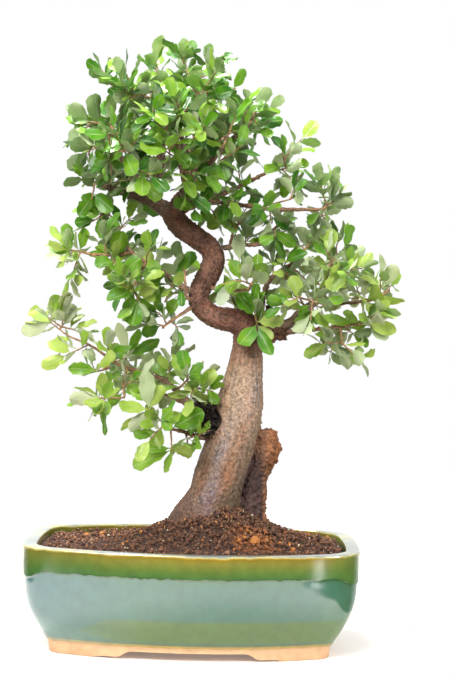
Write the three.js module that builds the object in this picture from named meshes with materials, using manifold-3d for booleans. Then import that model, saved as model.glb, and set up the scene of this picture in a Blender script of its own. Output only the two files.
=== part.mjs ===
// Evergreen oak bonsai in a glazed pot, in millimetres, +Z up, seen from the front along +Y.
import * as THREE from 'three';
import { mergeVertices } from 'three/addons/utils/BufferGeometryUtils.js';
import Module from 'manifold-3d';

const wasm = await Module();
wasm.setup();

// Pot: half sizes [along, deep] and height, from its inner floor, over the rim, to its underside. From the
// band down a row may add how square its corners are, from 0 to 1, and how far its short sides sag.
const POT_TURNS = 28;
const PLAN_SHARE = [3, 3, 1];
const LONG_BOW = 330;
const SHORT_BOW = 700;
const CORNER_RADIUS = 34;
const FOOT_CORNER_RADIUS = 19;
const SAG_FROM = 0.84;
const SAG_TO = 0.965;
const INNER_WALL = [
  [104, 74, 19.5], [124, 89, 40], [131.6, 93.4, 70], [132.6, 94.2, 89.4],
];
const RIM = [[133.4, 95, 90.2], [143.9, 104.4, 90.2], [144.5, 105, 89.2]];
const BAND = [[143.8, 104.4, 73, 0, 6], [143.3, 103.9, 70.8, 0, 6], [142.6, 103.2, 70, 0, 6]];
const OUTER_WALL = [
  [142, 102.3, 54, 0.15, 4], [137.8, 98.6, 38, 0.45, 2], [130.7, 92.8, 24, 0.75, 0.7],
  [125.6, 89.2, 15.5, 0.9, 0], [123.4, 87.6, 11.2, 1, 0],
];
const PLINTH = [[121.8, 86.4, 10.4, 1], [120, 84, 0, 1], [101, 70, 0], [100, 69, 8.2]];
const HALF_LENGTH = RIM[2][0];
const HALF_DEPTH = RIM[2][1];
const FRONT_BRACKET = [[78, -1], [74, 1.8], [57, 1.8], [48, 7.2]];
const SIDE_BRACKET = [[50, -1], [46, 1.8], [36, 1.8], [29, 7.2]];
const DRAIN_RADIUS = 9;
const DRAIN_PLACES = [-55, 55];
const DRAIN_TURNS = 12;
const DRAIN_LENGTH = 60;

// Soil: a mound round the trunk on a bed just under the rim.
const GAP = 0.35;
const HOLE_MARGIN = 0.43;
const LEAST_GAP = 0.315;
const TRIM = 0.05;
const BED_HEIGHT = 86;
const MOUND = { height: 38, x: 29, y: 0, left: 67, right: 63, rightPower: 1.2, deep: 60 };
const SOIL_RINGS = [0.14, 0.34, 0.52, 0.7, 0.87, 0.985];
const SOIL_SIDE = INNER_WALL.slice(0, 3).reverse();
const SOIL_BUMP = 1.6;
const FINE_WAVE = { across: 0.19, shift: 1.3, deep: 0.23 };
const BROAD_WAVE = { across: 0.07, deep: 0.31 };

// Places on the tree are [across, deep, up] as seen from the front: across and up are read on the upright
// plane through the middle of the pot, and at() moves them out along the line of sight to their depth.
const EYE = { x: 24, distance: 1300, z: 267.5 };

// Wood: [place, radius] along each limb, from thick to thin.
const TRUNK = [
  [[3, 0, 62], 22], [[4, 0, 90], 30], [[8, 0, 108], 27.5], [[13, 0, 123], 23.5], [[20.5, 0, 142], 20.6],
  [[30, 0, 171], 19.4], [[35.5, 0, 192], 19], [[38.8, 0, 210], 18.4], [[42.6, 0, 245], 14.6],
  [[43.8, 0, 262], 12.4], [[43.5, -1, 274], 11.8],
];
const S_BEND = [
  [[46, 0, 270], 11.5], [[42, -2, 279], 11.5], [[32.5, -4, 282.5], 10.8], [[20.9, -6, 283.8], 10],
  [[10, -8, 287.5], 9.6], [[1.3, -9, 295.6], 9.4], [[0.2, -9, 305], 9], [[3.5, -7, 314], 9],
  [[9.4, -4, 324.7], 9.7], [[12.6, 0, 336.3], 9.7], [[8, 3, 346.7], 9.8], [[-2.7, 5, 354.7], 10],
  [[-15.2, 6, 362.8], 10.3], [[-23.4, 5, 372.3], 9.8], [[-26.3, 4, 381], 7.5],
];
const STUMP = [
  [[44, 8, 62], 13], [[49.8, 8, 107], 13.5], [[51.2, 8, 125], 12.4], [[53, 8, 143], 10.8],
  [[57.4, 8, 157], 11.2], [[62.4, 7, 169.6], 12.4], [[61.2, 7, 180], 11], [[59.6, 7, 186], 9.6],
];
const BURL = [[[68, 6, 172], 6], [[73, 5, 169.5], 4.5]];
const WOUND = [[[28, -3, 193], 12], [[12, -6, 194], 8.5], [[5, -7, 195.5], 6]];
const KNOB = [[[49, 0, 269], 10], [[65, -4, 271.4], 7.6], [[78, -6, 270.3], 4.6]];
// The buried foot that joins trunk and stump.
const FOOT = { centre: [28, 3, 92], radii: [34, 24, 22], turns: 12, rows: 6 };
const UPPER_STUB = [[[56, 0, 273], 6.5], [[60.5, -2, 285.6], 5.6], [[61.2, -3, 297], 3.4]];
const BRANCHES = {
  crown_right: [[[-24.4, 4, 376.6], 8], [[-15, 4, 390], 7], [[-8.3, 5, 401.7], 6],
    [[-3.4, 6, 417.6], 5], [[-0.3, 8, 435.3], 4], [[-1.7, 6, 456.3], 3], [[-5.7, 2, 477.3], 1.9]],
  crown_left: [[[-25.2, 4, 374.9], 7.6], [[-35.9, 0, 381.7], 6.5], [[-47.5, -4, 387.5], 5.2],
    [[-60.8, -8, 390.7], 4], [[-75.8, -8, 394.8], 3], [[-89.1, -6, 399.7], 1.9]],
  crown_middle: [[[-38, -2, 383], 5], [[-39.8, 2, 397.4], 4.3], [[-36.8, 4, 417.7], 3.7],
    [[-34.7, 2, 439.7], 3.1], [[-34.4, 0, 461.7], 2.5], [[-35.7, -2, 479.2], 1.8]],
  crown_front: [[[-10.5, 4, 397], 4.2], [[-13.7, -18, 406.8], 3.6], [[-19.4, -38, 422.5], 2.8],
    [[-23.3, -54, 440], 1.9]],
  crown_back: [[[-9, 5, 400], 4.2], [[-10.5, 26, 413.5], 3.6], [[-15.6, 45, 431], 2.8],
    [[-19.3, 60, 448.5], 1.9]],
  crown_fork: [[[-3.4, 6, 417.6], 4.2], [[10.7, 2, 428.5], 3.4], [[26.5, -4, 441], 2.7],
    [[40.5, -6, 455.5], 1.8]],
  crown_shoulder: [[[-37, 4, 411], 3.9], [[-52.5, -8, 423.5], 3.2], [[-68, -10, 437.3], 2.5],
    [[-83.6, -8, 452.5], 1.7]],
  crown_left_back: [[[-47.5, -4, 387.5], 3.9], [[-55.4, 18, 402.3], 3.2], [[-67.4, 36, 416], 2.5],
    [[-77.8, 46, 429.8], 1.7]],
  crown_left_front: [[[-45, -3, 386.5], 3.9], [[-53.9, -24, 400.6], 3.2], [[-66.6, -42, 416], 2.5],
    [[-75.8, -52, 431.6], 1.7]],
  crown_right_back: [[[-2, 7, 426], 3.5], [[11.3, 24, 433.8], 2.7], [[21.5, 40, 446.4], 1.8]],
  crown_right_front: [[[-4.5, 5.5, 413], 3.5], [[7, -20, 421], 2.7], [[17.5, -38, 433.5], 1.8]],
  long_side: [[[-18.2, 4, 376.8], 3.4], [[-4.4, -6, 384.2], 2.7], [[7.9, -14, 386.2], 2.3],
    [[37.8, -20, 383.9], 2], [[66.1, -18, 381.1], 1.8], [[105.6, -14, 382], 1.4]],
  upper_side: [[[-9, 6, 388], 3], [[9.6, 10, 389.8], 2.3], [[27, 14, 397.3], 2],
    [[42.6, 14, 405.6], 1.8], [[58.2, 8, 413.8], 1.4]],
  s_bend_right: [[[9, 2, 346.5], 3.4], [[20.3, -4, 346.1], 2.5], [[35.2, -8, 349.1], 2.1],
    [[51, -6, 350.4], 1.7], [[61.3, 2, 361.2], 1.3]],
  dead_twig_right: [[[26.4, -5, 346.8], 1.5], [[29.6, -8, 362.1], 1.2], [[37.3, -10, 370.3], 0.8]],
  s_bend_low: [[[3.5, -8, 311.5], 2.6], [[15, -12, 310.5], 1.8], [[29.1, -18, 309], 1.5],
    [[43.2, -22, 309.8], 1.2]],
  trunk_back: [[[51, 3, 275], 4], [[55.8, 6, 298.6], 2.7], [[62.3, 5, 319.9], 2.2],
    [[80.4, 3, 333], 1.8], [[89.8, 0, 343.4], 1.4]],
  middle_right: [[[60, -2, 272], 5.4], [[79.9, -4, 281.2], 4.4], [[91.1, -6, 292.5], 3.6],
    [[104.9, -6, 302.8], 2.9], [[110.1, -4, 318.4], 2], [[113, 0, 330.8], 1.4]],
  middle_fork: [[[104, -6, 302], 2.4], [[116.9, -12, 314.2], 1.9], [[126, -14, 324], 1.4]],
  low_right: [[[68, -4, 271.5], 3.2], [[84.5, -8, 274.3], 2.3], [[105.5, -14, 277], 1.8],
    [[124.8, -16, 279.5], 1.5], [[138, -16, 281.6], 1.2]],
  right_end: [[[103, -5, 301.6], 2.4], [[124.3, 2, 300.3], 1.9], [[141.9, 6, 301.6], 1.6],
    [[155.8, 8, 305.4], 1.3], [[167.9, 8, 312.8], 1]],
  left_side: [[[-0.7, -9, 305], 3.6], [[-12.2, -15, 309.3], 2.6], [[-34.6, -20, 325.4], 2.1],
    [[-47.9, -22, 332.1], 1.9], [[-60.4, -22, 340.6], 1.8], [[-69.5, -18, 352.7], 1.6],
    [[-73.4, -14, 366.7], 1.4]],
  left_out: [[[-60.4, -22, 340.6], 1.5], [[-74.4, -26, 337.3], 1.3], [[-96.4, -30, 338], 1.1]],
  left_back: [[[0, -6, 303], 2.6], [[-14, 12, 312], 1.9], [[-34, 26, 324], 1.5], [[-52, 34, 336], 1.2]],
  dead_fork: [[[-1, -9, 298], 1.7], [[-10.3, -20, 302.3], 1.3], [[-12.3, -24, 315.4], 1.1],
    [[-13.6, -22, 329.5], 0.8]],
  dead_twig_left: [[[0, -9, 296], 1.7], [[-10.8, -17, 290], 1.4], [[-26.4, -22, 279], 1.1],
    [[-31, -22, 274.6], 0.8]],
  low_left: [[[28, -3, 199], 4.4], [[8, -6, 203], 3.8], [[-7.1, -8, 210.1], 3],
    [[-18.8, -9, 221.2], 2.5], [[-29.6, -10, 228.9], 2.1], [[-45.5, -12, 234.6], 1.8],
    [[-64.1, -14, 239.5], 1.5], [[-80, -16, 249], 1.2]],
  low_left_twig: [[[22, -3, 179], 3.4], [[4.1, -8, 179.6], 2.3], [[-9.1, -14, 183.6], 1.8],
    [[-18, -20, 185.4], 1.4]],
  low_left_back: [[[16, -2, 203], 2.8], [[-2, 12, 206], 2], [[-22, 24, 214], 1.6],
    [[-42, 32, 222], 1.2]],
};

// Leaves, all of one kind: an egg shape on a short stalk, arched along its length.
const BLADE_THICKNESS = 0.7;
const STALK_SHARE = 0.12;
const BLADE_STATIONS = [0, 0.42, 0.78, 1];
const EGG = { widest: 0.56, lower: 2.4, upper: 3, tip: 0.6 };

// How a leaf stands on its twig. Each of these is a middle or least value with the spread of its draw.
const SPIRAL = { start: 60, turn: 120, spread: 44, crowding: 1.15 };
const TILT = { first: 72, drop: 40, spread: 26, lift: 0.12 };
const FACING = { heading: 0.8, up: 0.5, spread: 1.5 };
const LENGTH_DRAW = { least: 0.84, spread: 0.3, atTip: 0.86 };
const WIDTH_DRAW = { least: 0.5, spread: 0.16 };
const ARCH_DRAW = { least: -0.08, spread: 0.3 };
const TONE_DRAW = { spread: 0.5, young: 0.12, oldFrom: 3 };
const LISTED_LIFT = 0.35;
const LISTED_ARCH = 0.06;

// Twigs, and the distances that twigs and leaves keep.
const FIRST_SHARE = 0.36;
const TWIG_END = 3;
const TWIG_SIDES = 3;
const TWIG_RADIUS = 1.5;
const SIDE_TWIG_ROOT = 0.7;
const SPINE_STEP = 1.5;
const BARE_FOOT = 4;
const TWIG_CLEARANCE = 4.2;
const STARTS_TRIED = 60;
const FREE_MARGIN = 2.5;
const SPARE_TRIES = 9;
const LEAF_CLEARANCE = 2.4;
const OWN_CLEARANCE = 1.7;
const WOOD_CLEARANCE = 1.3;
const SAMPLE_SHARES = [0.2, 0.35, 0.5, 0.65, 0.8, 0.92, 1];
const SAMPLE_SIDES = [-0.95, -0.5, 0, 0.5, 0.95];
const OWN_SAMPLES_FROM = 10;
const MIDDLE_SHARE = 0.55;
const NEAR_LEAF = 0.62;
const NEAR_WOOD = 0.7;
const NEAR_SPARE = 3;
const WOOD_SPACING = 2;

// Sprays: twigs as [leaf count, leaf length, place, place ...], each starting on the nearest wood, and
// single leaves as [tip of the leaf, width, turn about its own length, tone].
const SPRAYS = {
  crown_top: { tone: 0.5, twigs: [[4, 26, [-42.6, -8, 509.8]], [3, 25, [-28, 44, 489]]] },
  crown_top_right: { tone: 0.45, twigs: [[3, 25, [-18, 0, 508]], [3, 24, [7, 12, 498.7]]] },
  crown_top_left: { tone: 0.5, twigs: [[4, 27, [-60, -14, 478], [-73, -15, 496.8]],
    [2, 25, [-82.3, 8, 480.7]]] },
  crown_top_front: { tone: 0.4, twigs: [[3, 24, [-34.1, -46, 487.2]], [3, 24, [-64.6, -45, 475.9]]] },
  crown_top_back: { tone: 0.35, twigs: [[3, 24, [-62.9, 42, 477.7]]] },
  crown_right_top: { tone: 0.5, twigs: [[3, 24, [28.3, 4, 487]], [3, 24, [-0.7, -44, 486.2]]] },
  crown_right_tip: { tone: 0.45, twigs: [[4, 25, [47, -4, 470]], [3, 25, [52, -16, 450]]] },
  crown_right_front: { tone: 0.4, twigs: [[3, 24, [28.9, -44, 462.3]], [3, 24, [14.1, -52, 419.8]]] },
  crown_right_back: { tone: 0.35, twigs: [[3, 24, [30.5, 40, 469.4]], [2, 24, [20, 60, 446]]] },
  crown_left_tip: { tone: 0.55, twigs: [[4, 26, [-102.7, -12, 453.9]], [2, 24, [-98, 20, 440]]] },
  crown_left_edge: { tone: 0.5, twigs: [[3, 25, [-100.5, -30, 432]], [3, 24, [-98.4, 18, 416]]] },
  crown_left_low: { tone: 0.45, twigs: [[3, 25, [-105, -8, 404]], [3, 24, [-95.9, -27, 386]]] },
  crown_left_front: { tone: 0.45, twigs: [[3, 25, [-83.1, -60, 444]], [2, 24, [-78.8, -50, 408]]] },
  crown_left_back: { tone: 0.35, twigs: [[3, 25, [-74.3, 62, 444]], [2, 24, [-80, 56, 412]]] },
  crown_face: { tone: 0.45, twigs: [[3, 25, [-46.6, -78, 460]], [3, 26, [-13.4, -72, 468.3]]] },
  crown_face_low: { tone: 0.45, twigs: [[4, 26, [-30.1, -86, 431]], [3, 25, [2.9, -68, 445.9]]] },
  crown_face_left: { tone: 0.4, twigs: [[3, 26, [-65.2, -72, 430.2]], [3, 25, [-53.9, -57, 398.8]]] },
  crown_under: { tone: 0.5, twigs: [[3, 25, [-17.1, -56, 403.2]]] },
  crown_back: { tone: 0.35, twigs: [[3, 25, [-46.7, 72, 464]], [2, 25, [-11.5, 76, 461]]] },
  crown_back_low: { tone: 0.35, twigs: [[3, 25, [-31.9, 84, 431]], [2, 25, [1.8, 64, 419.5]]] },
  crown_back_under: { tone: 0.35, twigs: [[3, 25, [-53.8, 52, 395.3]]] },
  side_tip: { tone: 0.6, twigs: [[4, 23, [80.1, 4, 418.8]], [2, 22, [70.1, -8, 431]]] },
  side_middle: { tone: 0.45, twigs: [[3, 24, [62, -10, 398]], [2, 22, [84, -30, 392]]] },
  side_end: { tone: 0.6, twigs: [[4, 24, [118.6, -10, 390.7]], [3, 23, [100, -2, 372]]] },
  side_under: { tone: 0.4, twigs: [[3, 22, [72, 8, 371]], [2, 22, [66, -26, 358]]] },
  right_upper: { tone: 0.45, twigs: [[3, 23, [100.1, -4, 357]], [3, 22, [88, 22, 350]]] },
  right_top: { tone: 0.5, twigs: [[3, 24, [129, 0, 350]], [3, 24, [120, 24, 340]]] },
  right_peak: { tone: 0.5, twigs: [[3, 23, [136, -14, 334]], [3, 22, [118, -34, 328]]] },
  right_front: { tone: 0.45, twigs: [[3, 23, [88, -34, 306]], [3, 22, [112, -38, 298]]] },
  right_middle: { tone: 0.4, twigs: [[2, 22, [82, 10, 316]], [2, 22, [72, -14, 330]]] },
  right_back: { tone: 0.35, twigs: [[3, 23, [96, 36, 318]], [2, 23, [122, 38, 312]]] },
  right_out: { tone: 0.6, twigs: [[2, 22, [148, -10, 304]], [1, 20, [136, 22, 308]]], leaves: [
    [[181.5, -2, 302], 9, 60, 0.7], [[158.5, -24, 312.5], 17, 10, 0.95],
    [[167, 20, 322], 13, 150, 0.5], [[178.5, 6, 291], 8, 50, 0.85], [[160, 12, 330.5], 10, 70, 0.6]] },
  right_low: { tone: 0.55, twigs: [[1, 22, [150, -16, 283.5]]], leaves: [
    [[174, -24, 277], 13, 15, 0.95], [[167, -14, 270.5], 13, 165, 0.55],
    [[146, -26, 296], 11, 60, 0.5], [[128, -24, 293], 12, 20, 0.55], [[98, -18, 289], 12, 20, 0.5]] },
  right_dangle: { tone: 0.4, twigs: [[0, 14, [126.9, -18, 265.2], [136.8, -20, 255.8]],
    [0, 12, [116, -12, 264]]], leaves: [[[141, -20, 246.5], 6, 30, 0.3],
    [[133.5, -19, 256], 5, 60, 0.4], [[122, -12, 257.5], 6, 20, 0.7]] },
  trunk_top: { tone: 0.3, twigs: [[0, 24, [52, -16, 279], [49, -24, 288]]], leaves: [
    [[34, -30, 306], 16, 15, 0.15], [[37, -30, 263], 17, 20, 0.25], [[75, -28, 283], 12, 25, 0.95],
    [[64, -26, 253], 12, 25, 0.15], [[66, -22, 268], 9, 30, 0.8]] },
  s_bend_tuft: { tone: 0.35, twigs: [[3, 24, [50, -27, 322]], [2, 22, [36, -30, 318]]], leaves: [
    [[27, -24, 335.5], 13, 20, 0.4], [[52.5, -26, 341.5], 11, 25, 0.4],
    [[24, -20, 318], 12, 40, 0.5]] },
  left_cluster: { tone: 0.35, twigs: [[3, 24, [-73, -30, 326], [-64, -38, 316]]], leaves: [
    [[-68, -36, 358], 17, 25, 0.45], [[-92, -34, 330], 14, 20, 0.25], [[-72, -44, 350], 8, 30, 0.95],
    [[-79, -40, 341], 7, 60, 0.9], [[-52, -34, 336], 13, 35, 0.25]] },
  left_star: { tone: 0.4, twigs: [[0, 24, [-58, -36, 310], [-53.2, -48, 297]]], leaves: [
    [[-61, -50, 312], 11, 15, 0.95], [[-40, -50, 313], 12, 15, 0.85], [[-57, -50, 276], 17, 10, 0.2],
    [[-81, -46, 300], 15, 20, 0.3], [[-31, -40, 320], 14, 25, 0.35], [[-72, -50, 284], 12, 30, 0.4],
    [[-43, -46, 285], 10, 160, 0.3]] },
  left_inner: { tone: 0.3, twigs: [[1, 20, [-24, -24, 312]], [0, 20, [-30, -18, 297]]], leaves: [
    [[-9.5, -30, 341.5], 11, 55, 0.2], [[-19, -22, 292], 14, 20, 0.35]] },
  left_out: { tone: 0.6, twigs: [[1, 22, [-115.8, -32, 341.9]]], leaves: [
    [[-136, -34, 343.5], 10, 30, 0.65], [[-131.5, -32, 362], 10, 35, 0.75],
    [[-116.5, -30, 364.5], 13, 20, 0.4], [[-101, -26, 361], 11, 40, 0.45]] },
  left_behind: { tone: 0.35, twigs: [[3, 23, [-68, 36, 340]], [2, 22, [-44, 42, 318]]] },
  left_high: { tone: 0.45, twigs: [[3, 23, [-84, -6, 376]], [3, 23, [-96, -14, 366]]] },
  low_tip: { tone: 0.75, twigs: [[0, 22, [-94.4, -18, 258], [-114, -19, 265.5], [-130.1, -20, 277.4]],
    [0, 18, [-118, -12, 276]]], leaves: [[[-147, -20, 287.5], 10, 20, 0.95],
    [[-152.5, -22, 277.6], 5, 70, 0.7], [[-154.5, -18, 268.5], 14, 160, 0.85],
    [[-117.8, -22, 299.7], 6, 60, 0.6], [[-122, -26, 256], 14, 20, 0.75],
    [[-107, -14, 292], 15, 165, 0.7], [[-123.5, -16, 246.8], 6, 75, 0.9],
    [[-97, -26, 246], 14, 170, 0.6]] },
  low_middle: { tone: 0.5, twigs: [[0, 22, [-77, -22, 238], [-86.8, -24, 235]],
    [1, 22, [-60, 4, 250]]], leaves: [[[-72.5, -20, 260.5], 15, 20, 0.85],
    [[-50.8, -10, 272], 10, 35, 0.35], [[-70.6, 2, 278], 11, 160, 0.85],
    [[-33.9, -14, 263], 11, 45, 0.25], [[-101, -26, 231.5], 7, 60, 0.3],
    [[-75.7, -30, 225.5], 9, 30, 0.3]] },
  low_fork: { tone: 0.5, twigs: [[0, 22, [-64.6, -22, 223.6], [-63.5, -26, 212.2],
    [-85.4, -30, 211.7]]], leaves: [[[-83.2, -37, 233.5], 11, 25, 0.9],
    [[-107.6, -28, 221.7], 10, 40, 0.7], [[-111.5, -34, 212], 13, 160, 0.75],
    [[-88.5, -38, 199], 9, 30, 0.3], [[-96, -28, 191], 6, 65, 0.85],
    [[-80.5, -22, 178.5], 9, 40, 0.25], [[-49.5, -34, 222], 9, 30, 0.35]] },
  low_front: { tone: 0.5, twigs: [[0, 22, [-23.3, -24, 186.2], [-34, -32, 196], [-42, -36, 203]],
    [1, 20, [-20.1, -28, 166]]], leaves: [[[-45.5, -40, 236], 15, 175, 0.35],
    [[-29.1, -36, 224], 11, 25, 0.9], [[5.3, -30, 203.3], 19, 10, 0.2],
    [[-67.5, -42, 207.7], 14, 15, 0.6], [[-57, -36, 183], 13, 165, 0.75],
    [[-42, -30, 168], 10, 35, 0.3], [[-54.5, -22, 151.5], 16, 20, 0.5],
    [[-26.5, -26, 147.5], 8, 30, 0.5], [[-66.6, -28, 184.5], 9, 30, 0.75]] },
  low_inner: { tone: 0.5, twigs: [[2, 22, [-6, -20, 232]], [1, 20, [4, -12, 221]]], leaves: [
    [[15.9, -14, 239], 13, 20, 0.85], [[-21, -18, 252.5], 8, 40, 0.5],
    [[-44, -26, 222], 10, 30, 0.5]] },
  low_under: { tone: 0.4, twigs: [[2, 20, [-6, -26, 172]]], leaves: [[[0.5, -22, 168], 13, 20, 0.3]] },
  low_behind: { tone: 0.35, twigs: [[3, 22, [-56, 36, 232]], [2, 22, [-30, 40, 238]]] },
};

const UP = new THREE.Vector3(0, 0, 1);
const TO_VIEWER = new THREE.Vector3(0, -1, 0);

// A place read from the front, put at its depth.
function at([across, deep, up]) {
  const spread = 1 + deep / EYE.distance;
  return new THREE.Vector3(EYE.x + (across - EYE.x) * spread, deep, EYE.z + (up - EYE.z) * spread);
}

// A stream of seeded draws in 0..1.
function drawsFor(seed) {
  let state = (seed * 2654435761) % 4294967296;
  const next = () => {
    state = (state * 1664525 + 1013904223) % 4294967296;
    return state / 4294967296;
  };
  for (let skipped = 0; skipped < 4; skipped++) next();
  return next;
}

function toSolid(geometry) {
  const bare = geometry.clone();
  bare.deleteAttribute('normal');
  bare.deleteAttribute('uv');
  const merged = mergeVertices(bare, 1e-4);
  const corners = merged.index.array;
  const triVerts = [];
  for (let first = 0; first < corners.length; first += 3) {
    const [a, b, c] = corners.slice(first, first + 3);
    if (a !== b && b !== c && c !== a) triVerts.push(a, b, c);
  }
  const mesh = new wasm.Mesh({
    numProp: 3,
    vertProperties: new Float32Array(merged.attributes.position.array),
    triVerts: new Uint32Array(triVerts),
  });
  return new wasm.Manifold(mesh);
}

function toGeometry(solid) {
  const mesh = solid.getMesh();
  const geometry = new THREE.BufferGeometry();
  geometry.setAttribute('position', new THREE.BufferAttribute(new Float32Array(mesh.vertProperties), 3));
  geometry.setIndex(new THREE.BufferAttribute(new Uint32Array(mesh.triVerts), 1));
  return geometry;
}

function joined(solids) {
  return wasm.Manifold.union(solids);
}

// A closed form from a stack of rings: ring(row, turn) gives a point, and middle(row) the centre of an end.
function stacked(rows, turns, ring, middle) {
  const geometry = new THREE.CylinderGeometry(1, 1, 1, turns, rows - 1);
  const points = geometry.attributes.position;
  for (let index = 0; index < points.count; index++) {
    const row = Math.round((0.5 - points.getY(index)) * (rows - 1));
    const fromAxis = Math.hypot(points.getX(index), points.getZ(index));
    const turn = Math.round((Math.atan2(points.getX(index), points.getZ(index)) / (2 * Math.PI)) * turns);
    const place = fromAxis < 0.5 ? middle(row) : ring(row, (turn + turns) % turns);
    points.setXYZ(index, place.x, place.y, place.z);
  }
  return toSolid(geometry);
}

// The plan of the pot. A quarter is a bowed long side, a round corner and a bowed short side, each an arc.
function planOfPot(cornerRadius) {
  const inner = LONG_BOW - cornerRadius;
  const outer = SHORT_BOW - cornerRadius;
  const longMiddle = HALF_DEPTH - LONG_BOW;
  const shortMiddle = HALF_LENGTH - SHORT_BOW;
  const apart = Math.hypot(shortMiddle, longMiddle);
  const along = (inner ** 2 - outer ** 2 + apart ** 2) / (2 * apart);
  const off = Math.sqrt(inner ** 2 - along ** 2);
  const cornerX = (along * shortMiddle - off * longMiddle) / apart;
  const cornerY = longMiddle - (along * longMiddle + off * shortMiddle) / apart;
  const corner = new THREE.Vector2(Math.abs(cornerX), Math.abs(cornerY));
  const startAngle = Math.atan2(corner.x, corner.y - longMiddle);
  const endAngle = Math.atan2(corner.x - shortMiddle, corner.y);
  const arcs = [
    [0, longMiddle, LONG_BOW, 0, startAngle],
    [corner.x, corner.y, cornerRadius, startAngle, endAngle],
    [shortMiddle, 0, SHORT_BOW, endAngle, Math.PI / 2],
  ];
  const quarter = [];
  arcs.forEach(([x, y, radius, from, to], arc) => {
    for (let step = 0; step < PLAN_SHARE[arc]; step++) {
      const angle = from + ((to - from) * step) / PLAN_SHARE[arc];
      const across = (x + radius * Math.sin(angle)) / HALF_LENGTH;
      quarter.push([across, (y + radius * Math.cos(angle)) / HALF_DEPTH]);
    }
  });
  const mirrored = quarter.slice(1).reverse().map(([x, y]) => [x, -y]);
  const half = [...quarter, [1, 0], ...mirrored];
  return [...half, [0, -1], ...half.slice(1).reverse().map(([x, y]) => [-x, y])];
}

const PLAN = planOfPot(CORNER_RADIUS);
const FOOT_PLAN = planOfPot(FOOT_CORNER_RADIUS);

function potRing([halfLength, halfDepth, height, square = 0, sag = 0], turn) {
  const x = THREE.MathUtils.lerp(PLAN[turn][0], FOOT_PLAN[turn][0], square);
  const y = THREE.MathUtils.lerp(PLAN[turn][1], FOOT_PLAN[turn][1], square);
  const low = height - sag * THREE.MathUtils.smoothstep(Math.abs(x), SAG_FROM, SAG_TO);
  return new THREE.Vector3(x * halfLength, -y * halfDepth, low);
}

function bracket(corners, length) {
  const outline = [...corners, ...corners.map(([x, y]) => [-x, y]).reverse()];
  const shape = new THREE.Shape(outline.map(([x, y]) => new THREE.Vector2(x, y)));
  const geometry = new THREE.ExtrudeGeometry(shape, { depth: length, bevelEnabled: false });
  return geometry.translate(0, 0, -length / 2).rotateX(Math.PI / 2);
}

function makePot() {
  const profile = [...INNER_WALL, ...RIM, ...BAND, ...OUTER_WALL, ...PLINTH];
  const body = stacked(profile.length, POT_TURNS, (row, turn) => potRing(profile[row], turn),
    (row) => new THREE.Vector3(0, 0, profile[row][2]));
  const front = toSolid(bracket(FRONT_BRACKET, 3 * HALF_DEPTH));
  const side = toSolid(bracket(SIDE_BRACKET, 3 * HALF_LENGTH).rotateZ(Math.PI / 2));
  const drains = DRAIN_PLACES.map((x) => {
    const hole = new THREE.CylinderGeometry(DRAIN_RADIUS, DRAIN_RADIUS, DRAIN_LENGTH, DRAIN_TURNS);
    return toSolid(hole.rotateX(Math.PI / 2).translate(x, 0, 0));
  });
  return body.subtract(joined([front, side, ...drains]));
}

function soilHeight(x, y) {
  const left = Math.max(MOUND.x - x, 0) / MOUND.left;
  const right = Math.max(x - MOUND.x, 0) / MOUND.right;
  const away = left ** 2 + right ** MOUND.rightPower + ((y - MOUND.y) / MOUND.deep) ** 2;
  const fine = Math.sin(x * FINE_WAVE.across + FINE_WAVE.shift) * Math.cos(y * FINE_WAVE.deep);
  const broad = Math.sin(x * BROAD_WAVE.across - y * BROAD_WAVE.deep);
  return BED_HEIGHT + MOUND.height * Math.exp(-away) + (SOIL_BUMP * (fine + broad)) / 2;
}

function makeSoil(wood) {
  const [edgeLength, edgeDepth] = SOIL_SIDE[0];
  const top = SOIL_RINGS.length;
  const last = top + SOIL_SIDE.length;
  const ring = (row, turn) => {
    const [x, y] = PLAN[turn];
    if (row < top) {
      const across = x * (edgeLength - GAP) * SOIL_RINGS[row];
      const deep = -y * (edgeDepth - GAP) * SOIL_RINGS[row];
      const most = row === top - 1 ? BED_HEIGHT + 1 : Infinity;
      return new THREE.Vector3(across, deep, Math.min(soilHeight(across, deep), most));
    }
    const [halfLength, halfDepth, height] = SOIL_SIDE[row - top];
    return potRing([halfLength - GAP, halfDepth - GAP, height + GAP], turn);
  };
  const middle = (row) => (row === 0 ? new THREE.Vector3(0, 0, soilHeight(0, 0))
    : new THREE.Vector3(0, 0, SOIL_SIDE[last - top - 1][2] + GAP));
  return stacked(last, POT_TURNS, ring, middle).subtract(wood);
}

const START_SIDE = new THREE.Vector3(0.31, -0.9, 0.2);
const TANGENT_STEP = 0.01;

function curveThrough(rows) {
  return new THREE.CatmullRomCurve3(rows.map(([place]) => place), false, 'catmullrom', 0.5);
}

function radiusAt(rows, share) {
  const spans = rows.length - 1;
  const span = Math.min(Math.floor(share * spans), spans - 1);
  return THREE.MathUtils.lerp(rows[span][1], rows[span + 1][1], share * spans - span);
}

// The middle of a limb at even steps, each with two square directions that don't spin from step to step.
function framesAlong(rows, steps) {
  const curve = curveThrough(rows);
  const frames = [];
  let side = START_SIDE;
  for (let step = 0; step <= steps; step++) {
    const share = step / steps;
    const ahead = curve.getPoint(Math.min(share + TANGENT_STEP, 1));
    const heading = ahead.sub(curve.getPoint(Math.max(share - TANGENT_STEP, 0))).normalize();
    side = side.clone().addScaledVector(heading, -side.dot(heading)).normalize();
    const other = heading.clone().cross(side);
    frames.push({ centre: curve.getPoint(share), heading, side, other, radius: radiusAt(rows, share) });
  }
  return frames;
}

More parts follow.
